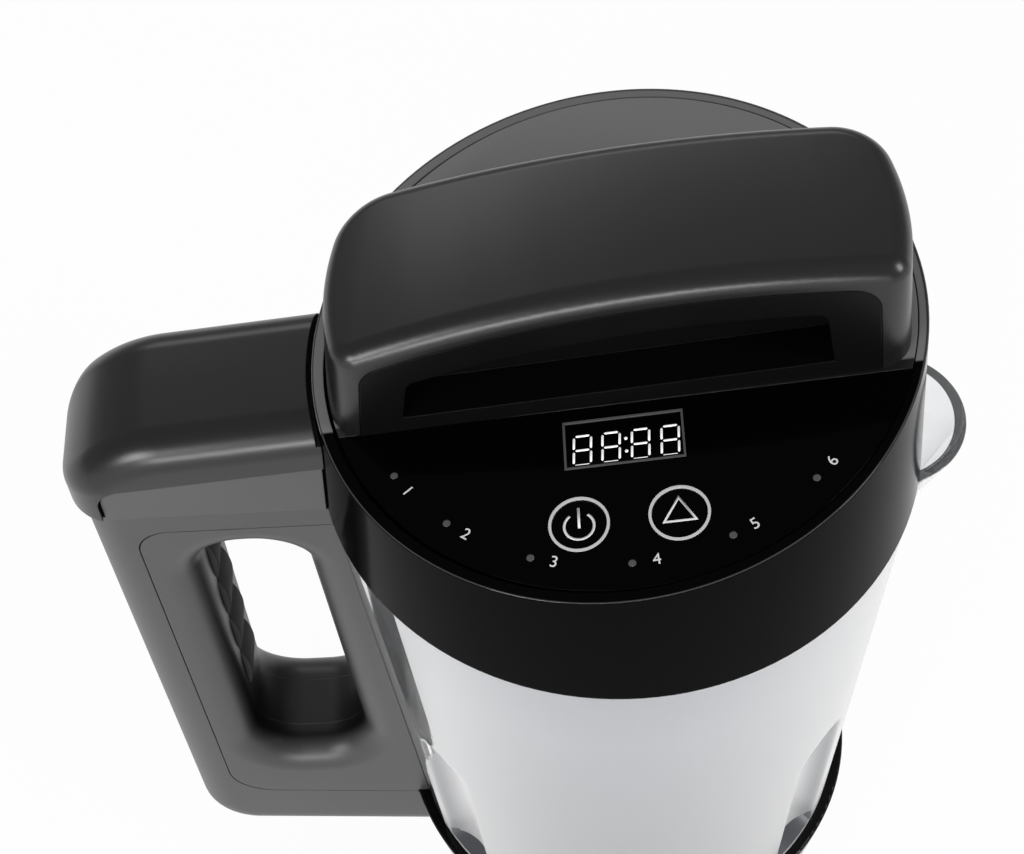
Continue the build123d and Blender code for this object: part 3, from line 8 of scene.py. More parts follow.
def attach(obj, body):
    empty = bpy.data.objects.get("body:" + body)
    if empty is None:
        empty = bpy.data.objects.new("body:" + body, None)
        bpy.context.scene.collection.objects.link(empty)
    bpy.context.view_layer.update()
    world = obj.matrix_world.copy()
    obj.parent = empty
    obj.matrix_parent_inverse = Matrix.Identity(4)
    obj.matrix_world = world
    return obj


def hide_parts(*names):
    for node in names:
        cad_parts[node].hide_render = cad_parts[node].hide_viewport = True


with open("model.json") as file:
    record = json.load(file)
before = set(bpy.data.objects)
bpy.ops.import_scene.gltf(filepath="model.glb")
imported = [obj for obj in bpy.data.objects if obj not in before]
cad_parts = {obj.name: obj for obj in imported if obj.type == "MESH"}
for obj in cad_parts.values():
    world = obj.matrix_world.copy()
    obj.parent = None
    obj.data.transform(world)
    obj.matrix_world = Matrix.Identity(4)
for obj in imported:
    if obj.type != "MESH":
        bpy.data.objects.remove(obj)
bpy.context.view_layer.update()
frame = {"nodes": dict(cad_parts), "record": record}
nodes = frame["nodes"]

MM = 0.001
RIM = 0.222
COLLAR_HEIGHT = 46.3
COLLAR_RADIUS = 80.0
COLLAR_TAPER = 3.0
SLOPE_X = tan(radians(7))
SLOPE_Y = tan(radians(2))
bpy.context.scene.view_settings.view_transform = "Standard"


# Camera, at the place and lens that the photograph's edges fit
def set_camera():
    data = bpy.data.cameras.new("camera")
    data.sensor_fit = "HORIZONTAL"
    data.sensor_width = 36.0
    data.lens = 77.34
    data.clip_start = 0.01
    data.clip_end = 20.0
    camera = bpy.data.objects.new("camera", data)
    bpy.context.scene.collection.objects.link(camera)
    right = Vector((0.99826, -0.02594, -0.05295))
    up = Vector((0.0512, 0.8268, 0.56016))
    back = Vector((0.02925, -0.5619, 0.82669))
    turn = Matrix((right, up, back)).transposed().to_4x4()
    camera.matrix_world = Matrix.Translation((-0.011111, -0.328548, 0.709876)) @ turn
    bpy.context.scene.camera = camera


set_camera()


# Node tools
def new_group(name, inputs, outputs):
    group = bpy.data.node_groups.new(name, "ShaderNodeTree")
    for label, kind, value in inputs:
        socket = group.interface.new_socket(name=label, in_out="INPUT", socket_type=kind)
        socket.default_value = value
    for label, kind in outputs:
        group.interface.new_socket(name=label, in_out="OUTPUT", socket_type=kind)
    entry = group.nodes.new("NodeGroupInput")
    leave = group.nodes.new("NodeGroupOutput")
    return group, entry, leave


def link(tree, start, end):
    tree.links.new(start, end)


def zone_share(group, level, start, fade):
    """How far a level is past a start, over a fade, from 0 to 1."""
    past = group.nodes.new("ShaderNodeMath")
    past.operation = "SUBTRACT"
    link(group, level, past.inputs[0])
    link(group, start, past.inputs[1])
    share = group.nodes.new("ShaderNodeMath")
    share.operation = "DIVIDE"
    share.use_clamp = True
    link(group, past.outputs[0], share.inputs[0])
    link(group, fade, share.inputs[1])
    return share.outputs[0]


def moulding_grain():
    """Fine mould grain with slow drifts in roughness, dust, and a second colour in a zone, which is two-tone colour
    on some materials and painted shade on others.
    """
    group, entry, leave = new_group(
        "moulding_grain",
        [
            ("Colour", "NodeSocketColor", (0.02, 0.02, 0.02, 1)),
            ("Roughness", "NodeSocketFloat", 0.4),
            ("Grain size", "NodeSocketFloat", 1400.0),
            ("Drift", "NodeSocketFloat", 0.06),
            ("Dust", "NodeSocketFloat", 0.02),
            ("Second colour", "NodeSocketColor", (0.02, 0.02, 0.02, 1)),
            ("Zone way", "NodeSocketVector", (0.0, 0.0, 0.0)),
            ("Zone depth", "NodeSocketFloat", 0.0),
            ("Zone start", "NodeSocketFloat", 1.0),
            ("Zone fade", "NodeSocketFloat", 0.001),
            ("Side way", "NodeSocketVector", (0.0, 0.0, 0.0)),
            ("Side start", "NodeSocketFloat", 1.0),
        ],
        [("Colour", "NodeSocketColor"), ("Roughness", "NodeSocketFloat"), ("Height", "NodeSocketFloat")],
    )
    place = group.nodes.new("ShaderNodeTexCoord")
    grain = group.nodes.new("ShaderNodeTexNoise")
    grain.inputs["Detail"].default_value = 3.0
    link(group, place.outputs["Object"], grain.inputs["Vector"])
    link(group, entry.outputs["Grain size"], grain.inputs["Scale"])
    cloud = group.nodes.new("ShaderNodeTexNoise")
    cloud.inputs["Scale"].default_value = 18.0
    cloud.inputs["Detail"].default_value = 4.0
    link(group, place.outputs["Object"], cloud.inputs["Vector"])
    centred = group.nodes.new("ShaderNodeMath")
    centred.operation = "SUBTRACT"
    centred.inputs[1].default_value = 0.5
    link(group, cloud.outputs["Fac"], centred.inputs[0])
    swing = group.nodes.new("ShaderNodeMath")
    swing.operation = "MULTIPLY_ADD"
    link(group, centred.outputs[0], swing.inputs[0])
    link(group, entry.outputs["Drift"], swing.inputs[1])
    link(group, entry.outputs["Roughness"], swing.inputs[2])
    speck = group.nodes.new("ShaderNodeTexNoise")
    speck.inputs["Scale"].default_value = 2600.0
    speck.inputs["Detail"].default_value = 1.0
    link(group, place.outputs["Object"], speck.inputs["Vector"])
    ramp = group.nodes.new("ShaderNodeMapRange")
    ramp.inputs["From Min"].default_value = 0.72
    ramp.inputs["From Max"].default_value = 0.8
    link(group, speck.outputs["Fac"], ramp.inputs["Value"])
    dust = group.nodes.new("ShaderNodeMath")
    dust.operation = "MULTIPLY"
    link(group, ramp.outputs["Result"], dust.inputs[0])
    link(group, entry.outputs["Dust"], dust.inputs[1])
    mix = group.nodes.new("ShaderNodeMix")
    mix.data_type = "RGBA"
    mix.inputs["B"].default_value = (0.5, 0.5, 0.5, 1)
    link(group, dust.outputs[0], mix.inputs["Factor"])
    parts = group.nodes.new("ShaderNodeSeparateXYZ")
    link(group, place.outputs["Object"], parts.inputs[0])
    away = group.nodes.new("ShaderNodeMath")
    away.operation = "ABSOLUTE"
    link(group, parts.outputs["Y"], away.inputs[0])
    deep = group.nodes.new("ShaderNodeMath")
    deep.operation = "MULTIPLY"
    link(group, away.outputs[0], deep.inputs[0])
    link(group, entry.outputs["Zone depth"], deep.inputs[1])
    along = group.nodes.new("ShaderNodeVectorMath")
    along.operation = "DOT_PRODUCT"
    link(group, place.outputs["Object"], along.inputs[0])
    link(group, entry.outputs["Zone way"], along.inputs[1])
    level = group.nodes.new("ShaderNodeMath")
    level.operation = "SUBTRACT"
    link(group, along.outputs["Value"], level.inputs[0])
    link(group, deep.outputs[0], level.inputs[1])
    zone = zone_share(group, level.outputs[0], entry.outputs["Zone start"], entry.outputs["Zone fade"])
    beside = group.nodes.new("ShaderNodeVectorMath")
    beside.operation = "DOT_PRODUCT"
    link(group, place.outputs["Object"], beside.inputs[0])
    link(group, entry.outputs["Side way"], beside.inputs[1])
    side = zone_share(group, beside.outputs["Value"], entry.outputs["Side start"], entry.outputs["Zone fade"])
    both = group.nodes.new("ShaderNodeMath")
    both.operation = "MULTIPLY"
    link(group, zone, both.inputs[0])
    link(group, side, both.inputs[1])
    second = group.nodes.new("ShaderNodeMix")
    second.data_type = "RGBA"
    link(group, both.outputs[0], second.inputs["Factor"])
    link(group, entry.outputs["Colour"], second.inputs["A"])
    link(group, entry.outputs["Second colour"], second.inputs["B"])
    link(group, second.outputs["Result"], mix.inputs["A"])
    link(group, mix.outputs["Result"], leave.inputs["Colour"])
    link(group, swing.outputs[0], leave.inputs["Roughness"])
    link(group, grain.outputs["Fac"], leave.inputs["Height"])
    return group


def brushed_lines():
    """Fine drawn lines with a slow change of tone, for turned and brushed metal."""
    group, entry, leave = new_group(
        "brushed_lines",
        [
            ("Colour", "NodeSocketColor", (0.6, 0.6, 0.6, 1)),
            ("Roughness", "NodeSocketFloat", 0.3),
            ("Stretch", "NodeSocketVector", (40.0, 40.0, 1200.0)),
            ("Tone", "NodeSocketFloat", 0.15),
        ],
        [("Colour", "NodeSocketColor"), ("Roughness", "NodeSocketFloat"), ("Height", "NodeSocketFloat")],
    )
    place = group.nodes.new("ShaderNodeTexCoord")
    stretch = group.nodes.new("ShaderNodeVectorMath")
    stretch.operation = "MULTIPLY"
    link(group, place.outputs["Object"], stretch.inputs[0])
    link(group, entry.outputs["Stretch"], stretch.inputs[1])
    lines = group.nodes.new("ShaderNodeTexNoise")
    lines.inputs["Scale"].default_value = 1.0
    lines.inputs["Detail"].default_value = 3.0
    link(group, stretch.outputs["Vector"], lines.inputs["Vector"])
    tone = group.nodes.new("ShaderNodeMapRange")
    tone.inputs["To Min"].default_value = 0.85
    tone.inputs["To Max"].default_value = 1.1
    link(group, lines.outputs["Fac"], tone.inputs["Value"])
    tint = group.nodes.new("ShaderNodeVectorMath")
    tint.operation = "SCALE"
    link(group, entry.outputs["Colour"], tint.inputs[0])
    link(group, tone.outputs["Result"], tint.inputs["Scale"])
    centred = group.nodes.new("ShaderNodeMath")
    centred.operation = "SUBTRACT"
    centred.inputs[1].default_value = 0.5
    link(group, lines.outputs["Fac"], centred.inputs[0])
    rough = group.nodes.new("ShaderNodeMath")
    rough.operation = "MULTIPLY_ADD"
    link(group, centred.outputs[0], rough.inputs[0])
    link(group, entry.outputs["Tone"], rough.inputs[1])
    link(group, entry.outputs["Roughness"], rough.inputs[2])
    link(group, tint.outputs["Vector"], leave.inputs["Colour"])
    link(group, rough.outputs[0], leave.inputs["Roughness"])
    link(group, lines.outputs["Fac"], leave.inputs["Height"])
    return group


def wall_ripple():
    """A slow ripple in a moulded wall, with the roughness drifting along with it."""
    group, entry, leave = new_group(
        "wall_ripple",
        [("Roughness", "NodeSocketFloat", 0.1), ("Ripple size", "NodeSocketFloat", 14.0)],
        [("Roughness", "NodeSocketFloat"), ("Height", "NodeSocketFloat")],
    )
    place = group.nodes.new("ShaderNodeTexCoord")
    cloud = group.nodes.new("ShaderNodeTexNoise")
    cloud.inputs["Detail"].default_value = 2.0
    link(group, place.outputs["Object"], cloud.inputs["Vector"])
    link(group, entry.outputs["Ripple size"], cloud.inputs["Scale"])
    drift = group.nodes.new("ShaderNodeMapRange")
    drift.inputs["To Min"].default_value = 0.8
    drift.inputs["To Max"].default_value = 1.2
    link(group, cloud.outputs["Fac"], drift.inputs["Value"])
    rough = group.nodes.new("ShaderNodeMath")
    rough.operation = "MULTIPLY"
    link(group, drift.outputs["Result"], rough.inputs[0])
    link(group, entry.outputs["Roughness"], rough.inputs[1])
    link(group, rough.outputs[0], leave.inputs["Roughness"])
    link(group, cloud.outputs["Fac"], leave.inputs["Height"])
    return group


grain_group = moulding_grain()
brush_group = brushed_lines()
ripple_group = wall_ripple()


def new_material(name):
    material = bpy.data.materials.new(name)
    material.use_nodes = True
    shader = material.node_tree.nodes["Principled BSDF"]
    return material, material.node_tree, shader


def moulded(
    name, colour, roughness, shine=0.5, grain=1400.0, drift=0.06, dust=0.0, bump=0.03, depth=0.02, edge=0.4, zone=None
):
    """A moulded plastic or rubber with its own grain, and a second colour in a zone if one is given, which is
    two-tone colour on some materials and painted shade on others.
    """
    material, tree, shader = new_material(name)
    surface = tree.nodes.new("ShaderNodeGroup")
    surface.node_tree = grain_group
    surface.inputs["Colour"].default_value = (*colour, 1)
    surface.inputs["Roughness"].default_value = roughness
    surface.inputs["Grain size"].default_value = grain
    surface.inputs["Drift"].default_value = drift
    surface.inputs["Dust"].default_value = dust
    relief = tree.nodes.new("ShaderNodeBump")
    relief.inputs["Strength"].default_value = bump
    relief.inputs["Distance"].default_value = depth * MM
    corner = tree.nodes.new("ShaderNodeBevel")
    corner.samples = 4
    corner.inputs["Radius"].default_value = edge * MM
    link(tree, corner.outputs["Normal"], relief.inputs["Normal"])
    link(tree, surface.outputs["Colour"], shader.inputs["Base Color"])
    link(tree, surface.outputs["Roughness"], shader.inputs["Roughness"])
    link(tree, surface.outputs["Height"], relief.inputs["Height"])
    link(tree, relief.outputs["Normal"], shader.inputs["Normal"])
    shader.inputs["Specular IOR Level"].default_value = shine
    for label, value in (zone or {}).items():
        surface.inputs[label].default_value = value
    return material


def metal(name, colour, roughness, stretch=(40.0, 40.0, 1200.0), tone=0.15, bump=0.05):
    """A brushed, turned or cast metal."""
    material, tree, shader = new_material(name)
    surface = tree.nodes.new("ShaderNodeGroup")
    surface.node_tree = brush_group
    surface.inputs["Colour"].default_value = (*colour, 1)
    surface.inputs["Roughness"].default_value = roughness
    surface.inputs["Stretch"].default_value = stretch
    surface.inputs["Tone"].default_value = tone
    relief = tree.nodes.new("ShaderNodeBump")
    relief.inputs["Strength"].default_value = bump
    relief.inputs["Distance"].default_value = 0.02 * MM
    link(tree, surface.outputs["Colour"], shader.inputs["Base Color"])
    link(tree, surface.outputs["Roughness"], shader.inputs["Roughness"])
    link(tree, surface.outputs["Height"], relief.inputs["Height"])
    link(tree, relief.outputs["Normal"], shader.inputs["Normal"])
    shader.inputs["Metallic"].default_value = 1.0
    return material


satin_black = moulded("satin_black", (0.007, 0.007, 0.007), 0.3, shine=0.5, grain=900.0, bump=0.1)
gloss_black = moulded("gloss_black", (0.002, 0.002, 0.002), 0.14, shine=0.16, drift=0.03, bump=0.01)
collar_black = moulded(
    "collar_black",
    (0.002, 0.002, 0.002),
    0.12,
    shine=0.012,
    drift=0.03,
    bump=0.01,
    zone={
        "Second colour": (0.2, 0.2, 0.2, 1),
        "Zone way": (-SLOPE_X, -SLOPE_Y, 1),
        "Zone start": RIM + COLLAR_HEIGHT * MM - 0.0012,
        "Zone fade": 0.0006,
        "Side way": (0, 1, 0),
        "Side start": -0.021,
    },
)
panel_black = moulded("panel_black", (0.001, 0.001, 0.001), 0.05, shine=0.03, drift=0.01, bump=0.0)
matte_black = moulded("matte_black", (0.03, 0.03, 0.03), 0.5, grain=1100.0, bump=0.2)
insert_black = moulded("insert_black", (0.003, 0.003, 0.003), 0.32, shine=0.12, grain=1100.0, bump=0.1)
matte_grey = moulded("matte_grey", (0.075, 0.075, 0.077), 0.5, grain=1100.0, bump=0.2)
# Handle plastic with painted shade: a near-black second colour darkens the walls inside the hole, where |y| is under
# about 12 to 18 mm and x is past about -131 mm.
handle_black_painted_hole_shade = moulded(
    "handle_black_painted_hole_shade",
    (0.046, 0.046, 0.047),
    0.4,
    grain=1000.0,
    bump=0.15,
    zone={
        "Second colour": (0.002, 0.002, 0.002, 1),
        "Zone depth": 1.0,
        "Zone start": -0.0178,
        "Zone fade": 0.006,
        "Side way": (1, 0, 0),
        "Side start": -0.131,
    },
)
socket_grey = moulded("socket_grey", (0.058, 0.058, 0.059), 0.4, grain=1000.0, bump=0.15)
deck_grey = moulded(
    "deck_grey",
    (0.18, 0.18, 0.18),
    0.45,
    grain=1100.0,
    bump=0.2,
    zone={
        "Second colour": (0.003, 0.003, 0.003, 1),
        "Zone way": (0, -1, 0),
        "Zone start": 0.019,
        "Zone fade": 0.001,
        "Side way": (0, -1, 0),
        "Side start": 0.019,
    },
)
black_rubber = moulded("black_rubber", (0.018, 0.018, 0.018), 0.75, grain=700.0, bump=0.25)
grey_silicone = moulded("grey_silicone", (0.3, 0.31, 0.32), 0.5, bump=0.1)
print_white = moulded("print_white", (0.85, 0.85, 0.85), 0.5, edge=0.0, bump=0.0)
board_green = moulded("board_green", (0.02, 0.12, 0.06), 0.4)
lamp_grey = moulded("lamp_grey", (0.09, 0.09, 0.095), 0.25, bump=0.01)
ring_silver = moulded("ring_silver", (0.7, 0.7, 0.7), 0.3, bump=0.0, edge=0.1)
frame_grey = moulded("frame_grey", (0.09, 0.09, 0.09), 0.4, bump=0.0, edge=0.1)
edge_black = moulded("edge_black", (0.04, 0.04, 0.04), 0.1, shine=1.0, bump=0.0, edge=0.1)
module_pale = moulded("module_pale", (0.6, 0.6, 0.6), 0.5)
smoked_window = moulded("smoked_window", (0.001, 0.001, 0.001), 0.05, shine=0.2, drift=0.02, bump=0.0)
brushed_steel = metal("brushed_steel", (0.6, 0.6, 0.61), 0.28)
turned_steel = metal("turned_steel", (0.58, 0.58, 0.59), 0.3, stretch=(60.0, 60.0, 60.0))
bright_trim = metal("bright_trim", (0.75, 0.75, 0.76), 0.14, stretch=(90.0, 90.0, 90.0), bump=0.0)
zinc_steel = metal("zinc_steel", (0.5, 0.5, 0.52), 0.42, stretch=(120.0, 120.0, 120.0))
cast_metal = metal("cast_metal", (0.55, 0.55, 0.56), 0.5, stretch=(300.0, 300.0, 300.0), bump=0.2)
contact_brass = metal("contact_brass", (0.68, 0.5, 0.24), 0.3)


def lit_segment():
    """The display's lit segments, which glow a little."""
    material, tree, shader = new_material("lit_segment")
    shader.inputs["Base Color"].default_value = (0.85, 0.87, 0.88, 1)
    shader.inputs["Emission Color"].default_value = (1, 1, 1, 1)
    shader.inputs["Emission Strength"].default_value = 0.55
    return material


def jug_wall(name, colour, roughness, transmission, ripple):
    """The jug's moulded wall, with a slow ripple in its surface."""
    material, tree, shader = new_material(name)
    cloud = tree.nodes.new("ShaderNodeGroup")
    cloud.node_tree = ripple_group
    cloud.inputs["Roughness"].default_value = roughness
    link(tree, cloud.outputs["Roughness"], shader.inputs["Roughness"])
    relief = tree.nodes.new("ShaderNodeBump")
    relief.inputs["Strength"].default_value = ripple
    relief.inputs["Distance"].default_value = 0.5 * MM
    link(tree, cloud.outputs["Height"], relief.inputs["Height"])
    link(tree, relief.outputs["Normal"], shader.inputs["Normal"])
    shader.inputs["Base Color"].default_value = (*colour, 1)
    shader.inputs["Transmission Weight"].default_value = transmission
    shader.inputs["IOR"].default_value = 1.45
    return material


def add_painted_jug_shade_and_edge_reflection(material, high_colour, shaded_low_colour, reflected_edge_colour):
    """Paints light and shade into a wall's colour: painted shade makes it darker low down, and a painted white
    reflection makes it paler where it turns away.
    """
    tree = material.node_tree
    place = tree.nodes.new("ShaderNodeTexCoord")
    parts = tree.nodes.new("ShaderNodeSeparateXYZ")
    link(tree, place.outputs["Object"], parts.inputs[0])
    height = tree.nodes.new("ShaderNodeMapRange")
    height.inputs["From Min"].default_value = 0.07
    height.inputs["From Max"].default_value = 0.19
    link(tree, parts.outputs["Z"], height.inputs["Value"])
    # Painted shade: darker towards the bottom of the wall.
    painted_low_shade = tree.nodes.new("ShaderNodeMix")
    painted_low_shade.data_type = "RGBA"
    painted_low_shade.inputs["A"].default_value = (*shaded_low_colour, 1)
    painted_low_shade.inputs["B"].default_value = (*high_colour, 1)
    link(tree, height.outputs["Result"], painted_low_shade.inputs["Factor"])
    turn = tree.nodes.new("ShaderNodeLayerWeight")
    turn.inputs["Blend"].default_value = 0.5
    away = tree.nodes.new("ShaderNodeMapRange")
    away.inputs["From Min"].default_value = 0.55
    away.inputs["From Max"].default_value = 0.95
    link(tree, turn.outputs["Facing"], away.inputs["Value"])
    # Painted reflection: white where the wall turns away from the camera.
    tint = tree.nodes.new("ShaderNodeMix")
    tint.data_type = "RGBA"
    tint.inputs["B"].default_value = (*reflected_edge_colour, 1)
    link(tree, away.outputs["Result"], tint.inputs["Factor"])
    link(tree, painted_low_shade.outputs["Result"], tint.inputs["A"])
    link(tree, tint.outputs["Result"], tree.nodes["Principled BSDF"].inputs["Base Color"])


lit_white = lit_segment()
clear_jug = jug_wall("clear_jug", (0.97, 0.98, 0.995), 0.04, 0.95, 0.25)
milky_high = (0.34, 0.352, 0.38)
milky_jug = jug_wall("milky_jug", milky_high, 0.3, 0.3, 0.1)
# Painted shade low on the jug wall, and a painted white reflection at its turned-away edges.
add_painted_jug_shade_and_edge_reflection(milky_jug, milky_high, (0.115, 0.121, 0.137), (1.0, 1.0, 1.0))

finishes = {
    "jug_clear": milky_jug,
    "black_gloss": gloss_black,
    "black_satin": satin_black,
    "black_matte": matte_black,
    "grey_matte": matte_grey,
    "black_rubber": black_rubber,
    "grey_silicone": grey_silicone,
    "brushed_steel": brushed_steel,
    "bright_steel": bright_trim,
    "zinc_steel": zinc_steel,
    "cast_metal": cast_metal,
    "contact_brass": contact_brass,
    "smoked_window": smoked_window,
    "board_green": board_green,
    "lamp_grey": lamp_grey,
    "white_segment": module_pale,
}


def set_material(piece, material):
    piece.data.materials.clear()
    piece.data.materials.append(material)


def smooth_node(piece, angle=35.0):
    """Joins a CAD node's split corners and shades it smooth up to an angle."""
    weld = piece.modifiers.new("weld", "WELD")
    weld.merge_threshold = 0.00001
    for face in piece.data.polygons:
        face.use_smooth = True
    edges = piece.modifiers.new("edges", "EDGE_SPLIT")
    edges.split_angle = radians(angle)


own_finishes = {
    "control_panel": panel_black,
    "power_button": panel_black,
    "select_button": panel_black,
    "bridge_front_insert": insert_black,
    "bridge_rear_insert": insert_black,
    "top_cover": deck_grey,
    "handle_body": handle_black_painted_hole_shade,
    "handle_socket": socket_grey,
    "handle_front_shell": handle_black_painted_hole_shade,
    "handle_rear_shell": handle_black_painted_hole_shade,
    "head_collar": collar_black,
    "button_rings": ring_silver,
    "display_frame": frame_grey,
    "blade": turned_steel,
    "motor_shaft": turned_steel,
    "shaft_tube": turned_steel,
}
for part in frame["record"]["subparts"]:
    piece = nodes[part["node"]]
    set_material(piece, own_finishes.get(part["node"], finishes[part["material_slot"]]))
    smooth_node(piece)


# Mesh tools
def new_piece(name, points, faces, materials, body, face_materials=None, angle=40.0):
    """A mesh piece that rides on a body, smooth up to an angle."""
    mesh = bpy.data.meshes.new(name)
    mesh.from_pydata(points, [], faces)
    for material in materials:
        mesh.materials.append(material)
    if face_materials:
        mesh.polygons.foreach_set("material_index", face_materials)
    for face in mesh.polygons:
        face.use_smooth = True
    mesh.update()
    piece = bpy.data.objects.new(name, mesh)
    bpy.context.scene.collection.objects.link(piece)
    edges = piece.modifiers.new("edges", "EDGE_SPLIT")
    edges.split_angle = radians(angle)
    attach(piece, body)
    return piece


# Jug: its wall is drawn ring by ring, clear beside the handle and milky elsewhere
FOOT_Z = 0.047
LOW_Z = 0.036
WALL = 0.003
FLUTES = (-140.0, -40.0, 40.0, 140.0)


def wall_radius(z):
    return 0.0683 + 0.0111 * (z - FOOT_Z) / 0.175


def soft_max(first, second, blend):
    share = max(blend - abs(first - second), 0.0) / blend
    return max(first, second) + share * share * blend / 4


def spout_radius(angle, z, inset):
    """How far the spout reaches at an angle from +X and a height."""
    share = (RIM - z) / 0.042
    if share > 1:
        return 0.0
    centre = 0.071 + (0.05924 - 0.071) * share
    radius = 0.0215 + (0.016 - 0.0215) * share - inset
    under = radius**2 - (centre * sin(angle)) ** 2
    if cos(angle) < 0 or under < 0:
        return 0.0
    return centre * cos(angle) + sqrt(under)


def flute_radius(angle, z, grown):
    """How far in the nearest flute's hollow comes at an angle and a height."""
    top = 0.131 + grown
    low = 0.051 - grown
    if z > top or z < low:
        return 1.0
    rod = 0.014 + grown
    rise = z - (top - 0.011)
    if rise > 0:
        rod -= 0.011 - sqrt(max(0.011**2 - rise**2, 0.0))
    away = wall_radius(z) + 0.0092
    nearest = 1.0
    for place in FLUTES:
        turn = angle - radians(place)
        under = rod**2 - (away * sin(turn)) ** 2
        if cos(turn) > 0 and under > 0:
            nearest = min(nearest, away * cos(turn) - sqrt(under))
    return nearest


def jug_surface(angle, z, inset):
    """The wall's distance from the jug's axis, outside or with an inset inside."""
    radius = soft_max(wall_radius(z) - inset, spout_radius(angle, z, inset), 0.003)
    return -soft_max(-radius, -flute_radius(angle, z, inset), 0.0012)


def is_clear(angle, z):
    """The clear strip beside the handle, which narrows towards the foot, and the clear spout."""
    if spout_radius(angle, min(z, RIM - 0.0001), 0.0) > wall_radius(z) + 0.0002:
        return True
    share = min(max((0.147 - z) / 0.067, 0.0), 1.0)
    border = 139.5 + 13.1 * share * share * (3 - 2 * share)
    return abs(degrees(angle)) > border


def make_jug():
    turns = [radians(-180 + step * 0.75) for step in range(480)]
    rises = [LOW_Z + step * 0.0015 for step in range(123)]
    rises += [0.2204, 0.2212, 0.2217]
    rings = [(z, 0.0) for z in rises]
    rings += [(RIM, 0.0004), (RIM, WALL - 0.0004)]
    rings += [(z, WALL) for z in reversed(rises)]
    points = []
    for z, inset in rings:
        for turn in turns:
            radius = jug_surface(turn, min(z, RIM - 0.0001), inset)
            points.append((radius * cos(turn), radius * sin(turn), z))
    count = len(turns)
    faces = []
    kinds = []
    for ring in range(len(rings)):
        above = (ring + 1) % len(rings)
        for step in range(count):
            beside = (step + 1) % count
            faces.append((ring * count + step, ring * count + beside, above * count + beside, above * count + step))
            kinds.append(1 if is_clear(turns[step] + radians(0.37), rings[ring][0]) else 0)
    jug = new_piece("jug_wall", points, faces, [milky_jug, clear_jug], "jug_and_base", kinds, angle=50.0)
    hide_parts("jug_body")


make_jug()


# Panel: everything flat on it is placed in the slope's own plane, in millimetres
def slope_turn():
    along = Vector((1, 0, SLOPE_X)).normalized()
    normal = Vector((-SLOPE_X, -SLOPE_Y, 1)).normalized()
    across = normal.cross(along)
    turn = Matrix((along, across, normal)).transposed().to_4x4()
    return Matrix.Translation((0, 0, RIM + COLLAR_HEIGHT * MM)) @ turn


SLOPE = slope_turn()


def on_slope(x, y, lift):
    return SLOPE @ Vector((x * MM, y * MM, lift * MM))


def band(path, width, closed=False):
    """A flat band of even width along a path, as points and faces."""
    count = len(path)
    points = []
    for place in range(count):
        before = Vector(path[(place - 1) % count] if closed or place > 0 else path[place])
        here = Vector(path[place])
        after = Vector(path[(place + 1) % count] if closed or place < count - 1 else path[place])
        way_in = (here - before).normalized() if (here - before).length else (after - here).normalized()
        way_out = (after - here).normalized() if (after - here).length else way_in
        side = Vector((-(way_in + way_out).y, (way_in + way_out).x)).normalized()
        reach = width / 2 / max(side.dot(Vector((-way_in.y, way_in.x))), 0.3)
        points += [here + side * reach, here - side * reach]
    last = count if closed else count - 1
    faces = []
    for place in range(last):
        first, second = place * 2, (place + 1) % count * 2
        faces.append((first, first + 1, second + 1, second))
    return points, faces


def printed(name, shapes, lift, thickness, material, body):
    """Flat shapes on the slope's plane, made solid."""
    points = []
    faces = []
    for flat, sides in shapes:
        start = len(points)
        points += [on_slope(point[0], point[1], lift + thickness) for point in flat]
        faces += [tuple(start + corner for corner in side) for side in sides]
    piece = new_piece(name, points, faces, [material], body)
    solid = piece.modifiers.new("thickness", "SOLIDIFY")
    solid.thickness = thickness * MM
    solid.offset = -1
    return piece


def arc(centre, radius, start, end, steps):
    """Points along an arc between two angles in degrees."""
    path = []
    for step in range(steps + 1):
        angle = radians(start + (end - start) * step / steps)
        path.append((centre[0] + radius * cos(angle), centre[1] + radius * sin(angle)))
    return path


DISPLAY_Y = -33.0
BUTTON_Y = -55.0


def segment(start, end, width):
    """One lit bar of a digit, pointed at both ends."""
    start, end = Vector(start), Vector(end)
    way = (end - start).normalized()
    side = Vector((-way.y, way.x)) * width / 2
    tip = way * width / 2
    points = [start, start + tip + side, end - tip + side, end, end - tip - side, start + tip - side]
    return points, [(0, 5, 4, 3, 2, 1)]


def make_edge_bead():
    """The collar's upper outer edge, rounded and polished."""
    points = []
    faces = []
    count, sides, bead = 240, 8, 0.3
    for step in range(count):
        turn = 2 * pi * step / count
        way = Vector((cos(turn), sin(turn)))
        radius = 77.3
        for _ in range(3):
            high = COLLAR_HEIGHT + SLOPE_X * radius * way.x + SLOPE_Y * radius * way.y
            radius = COLLAR_RADIUS - COLLAR_TAPER * high / COLLAR_HEIGHT
        for side in range(sides):
            angle = 2 * pi * side / sides
            out = radius - bead * 1.2 + bead * cos(angle)
            points.append((way.x * out * MM, way.y * out * MM, RIM + (high - bead * 0.6 + bead * sin(angle)) * MM))
    for step in range(count):
        after = (step + 1) % count
        for side in range(sides):
            beside = (side + 1) % sides
            faces.append((step * sides + side, after * sides + side, after * sides + beside, step * sides + beside))
    bead_piece = new_piece("collar_edge", points, faces, [edge_black], "head")


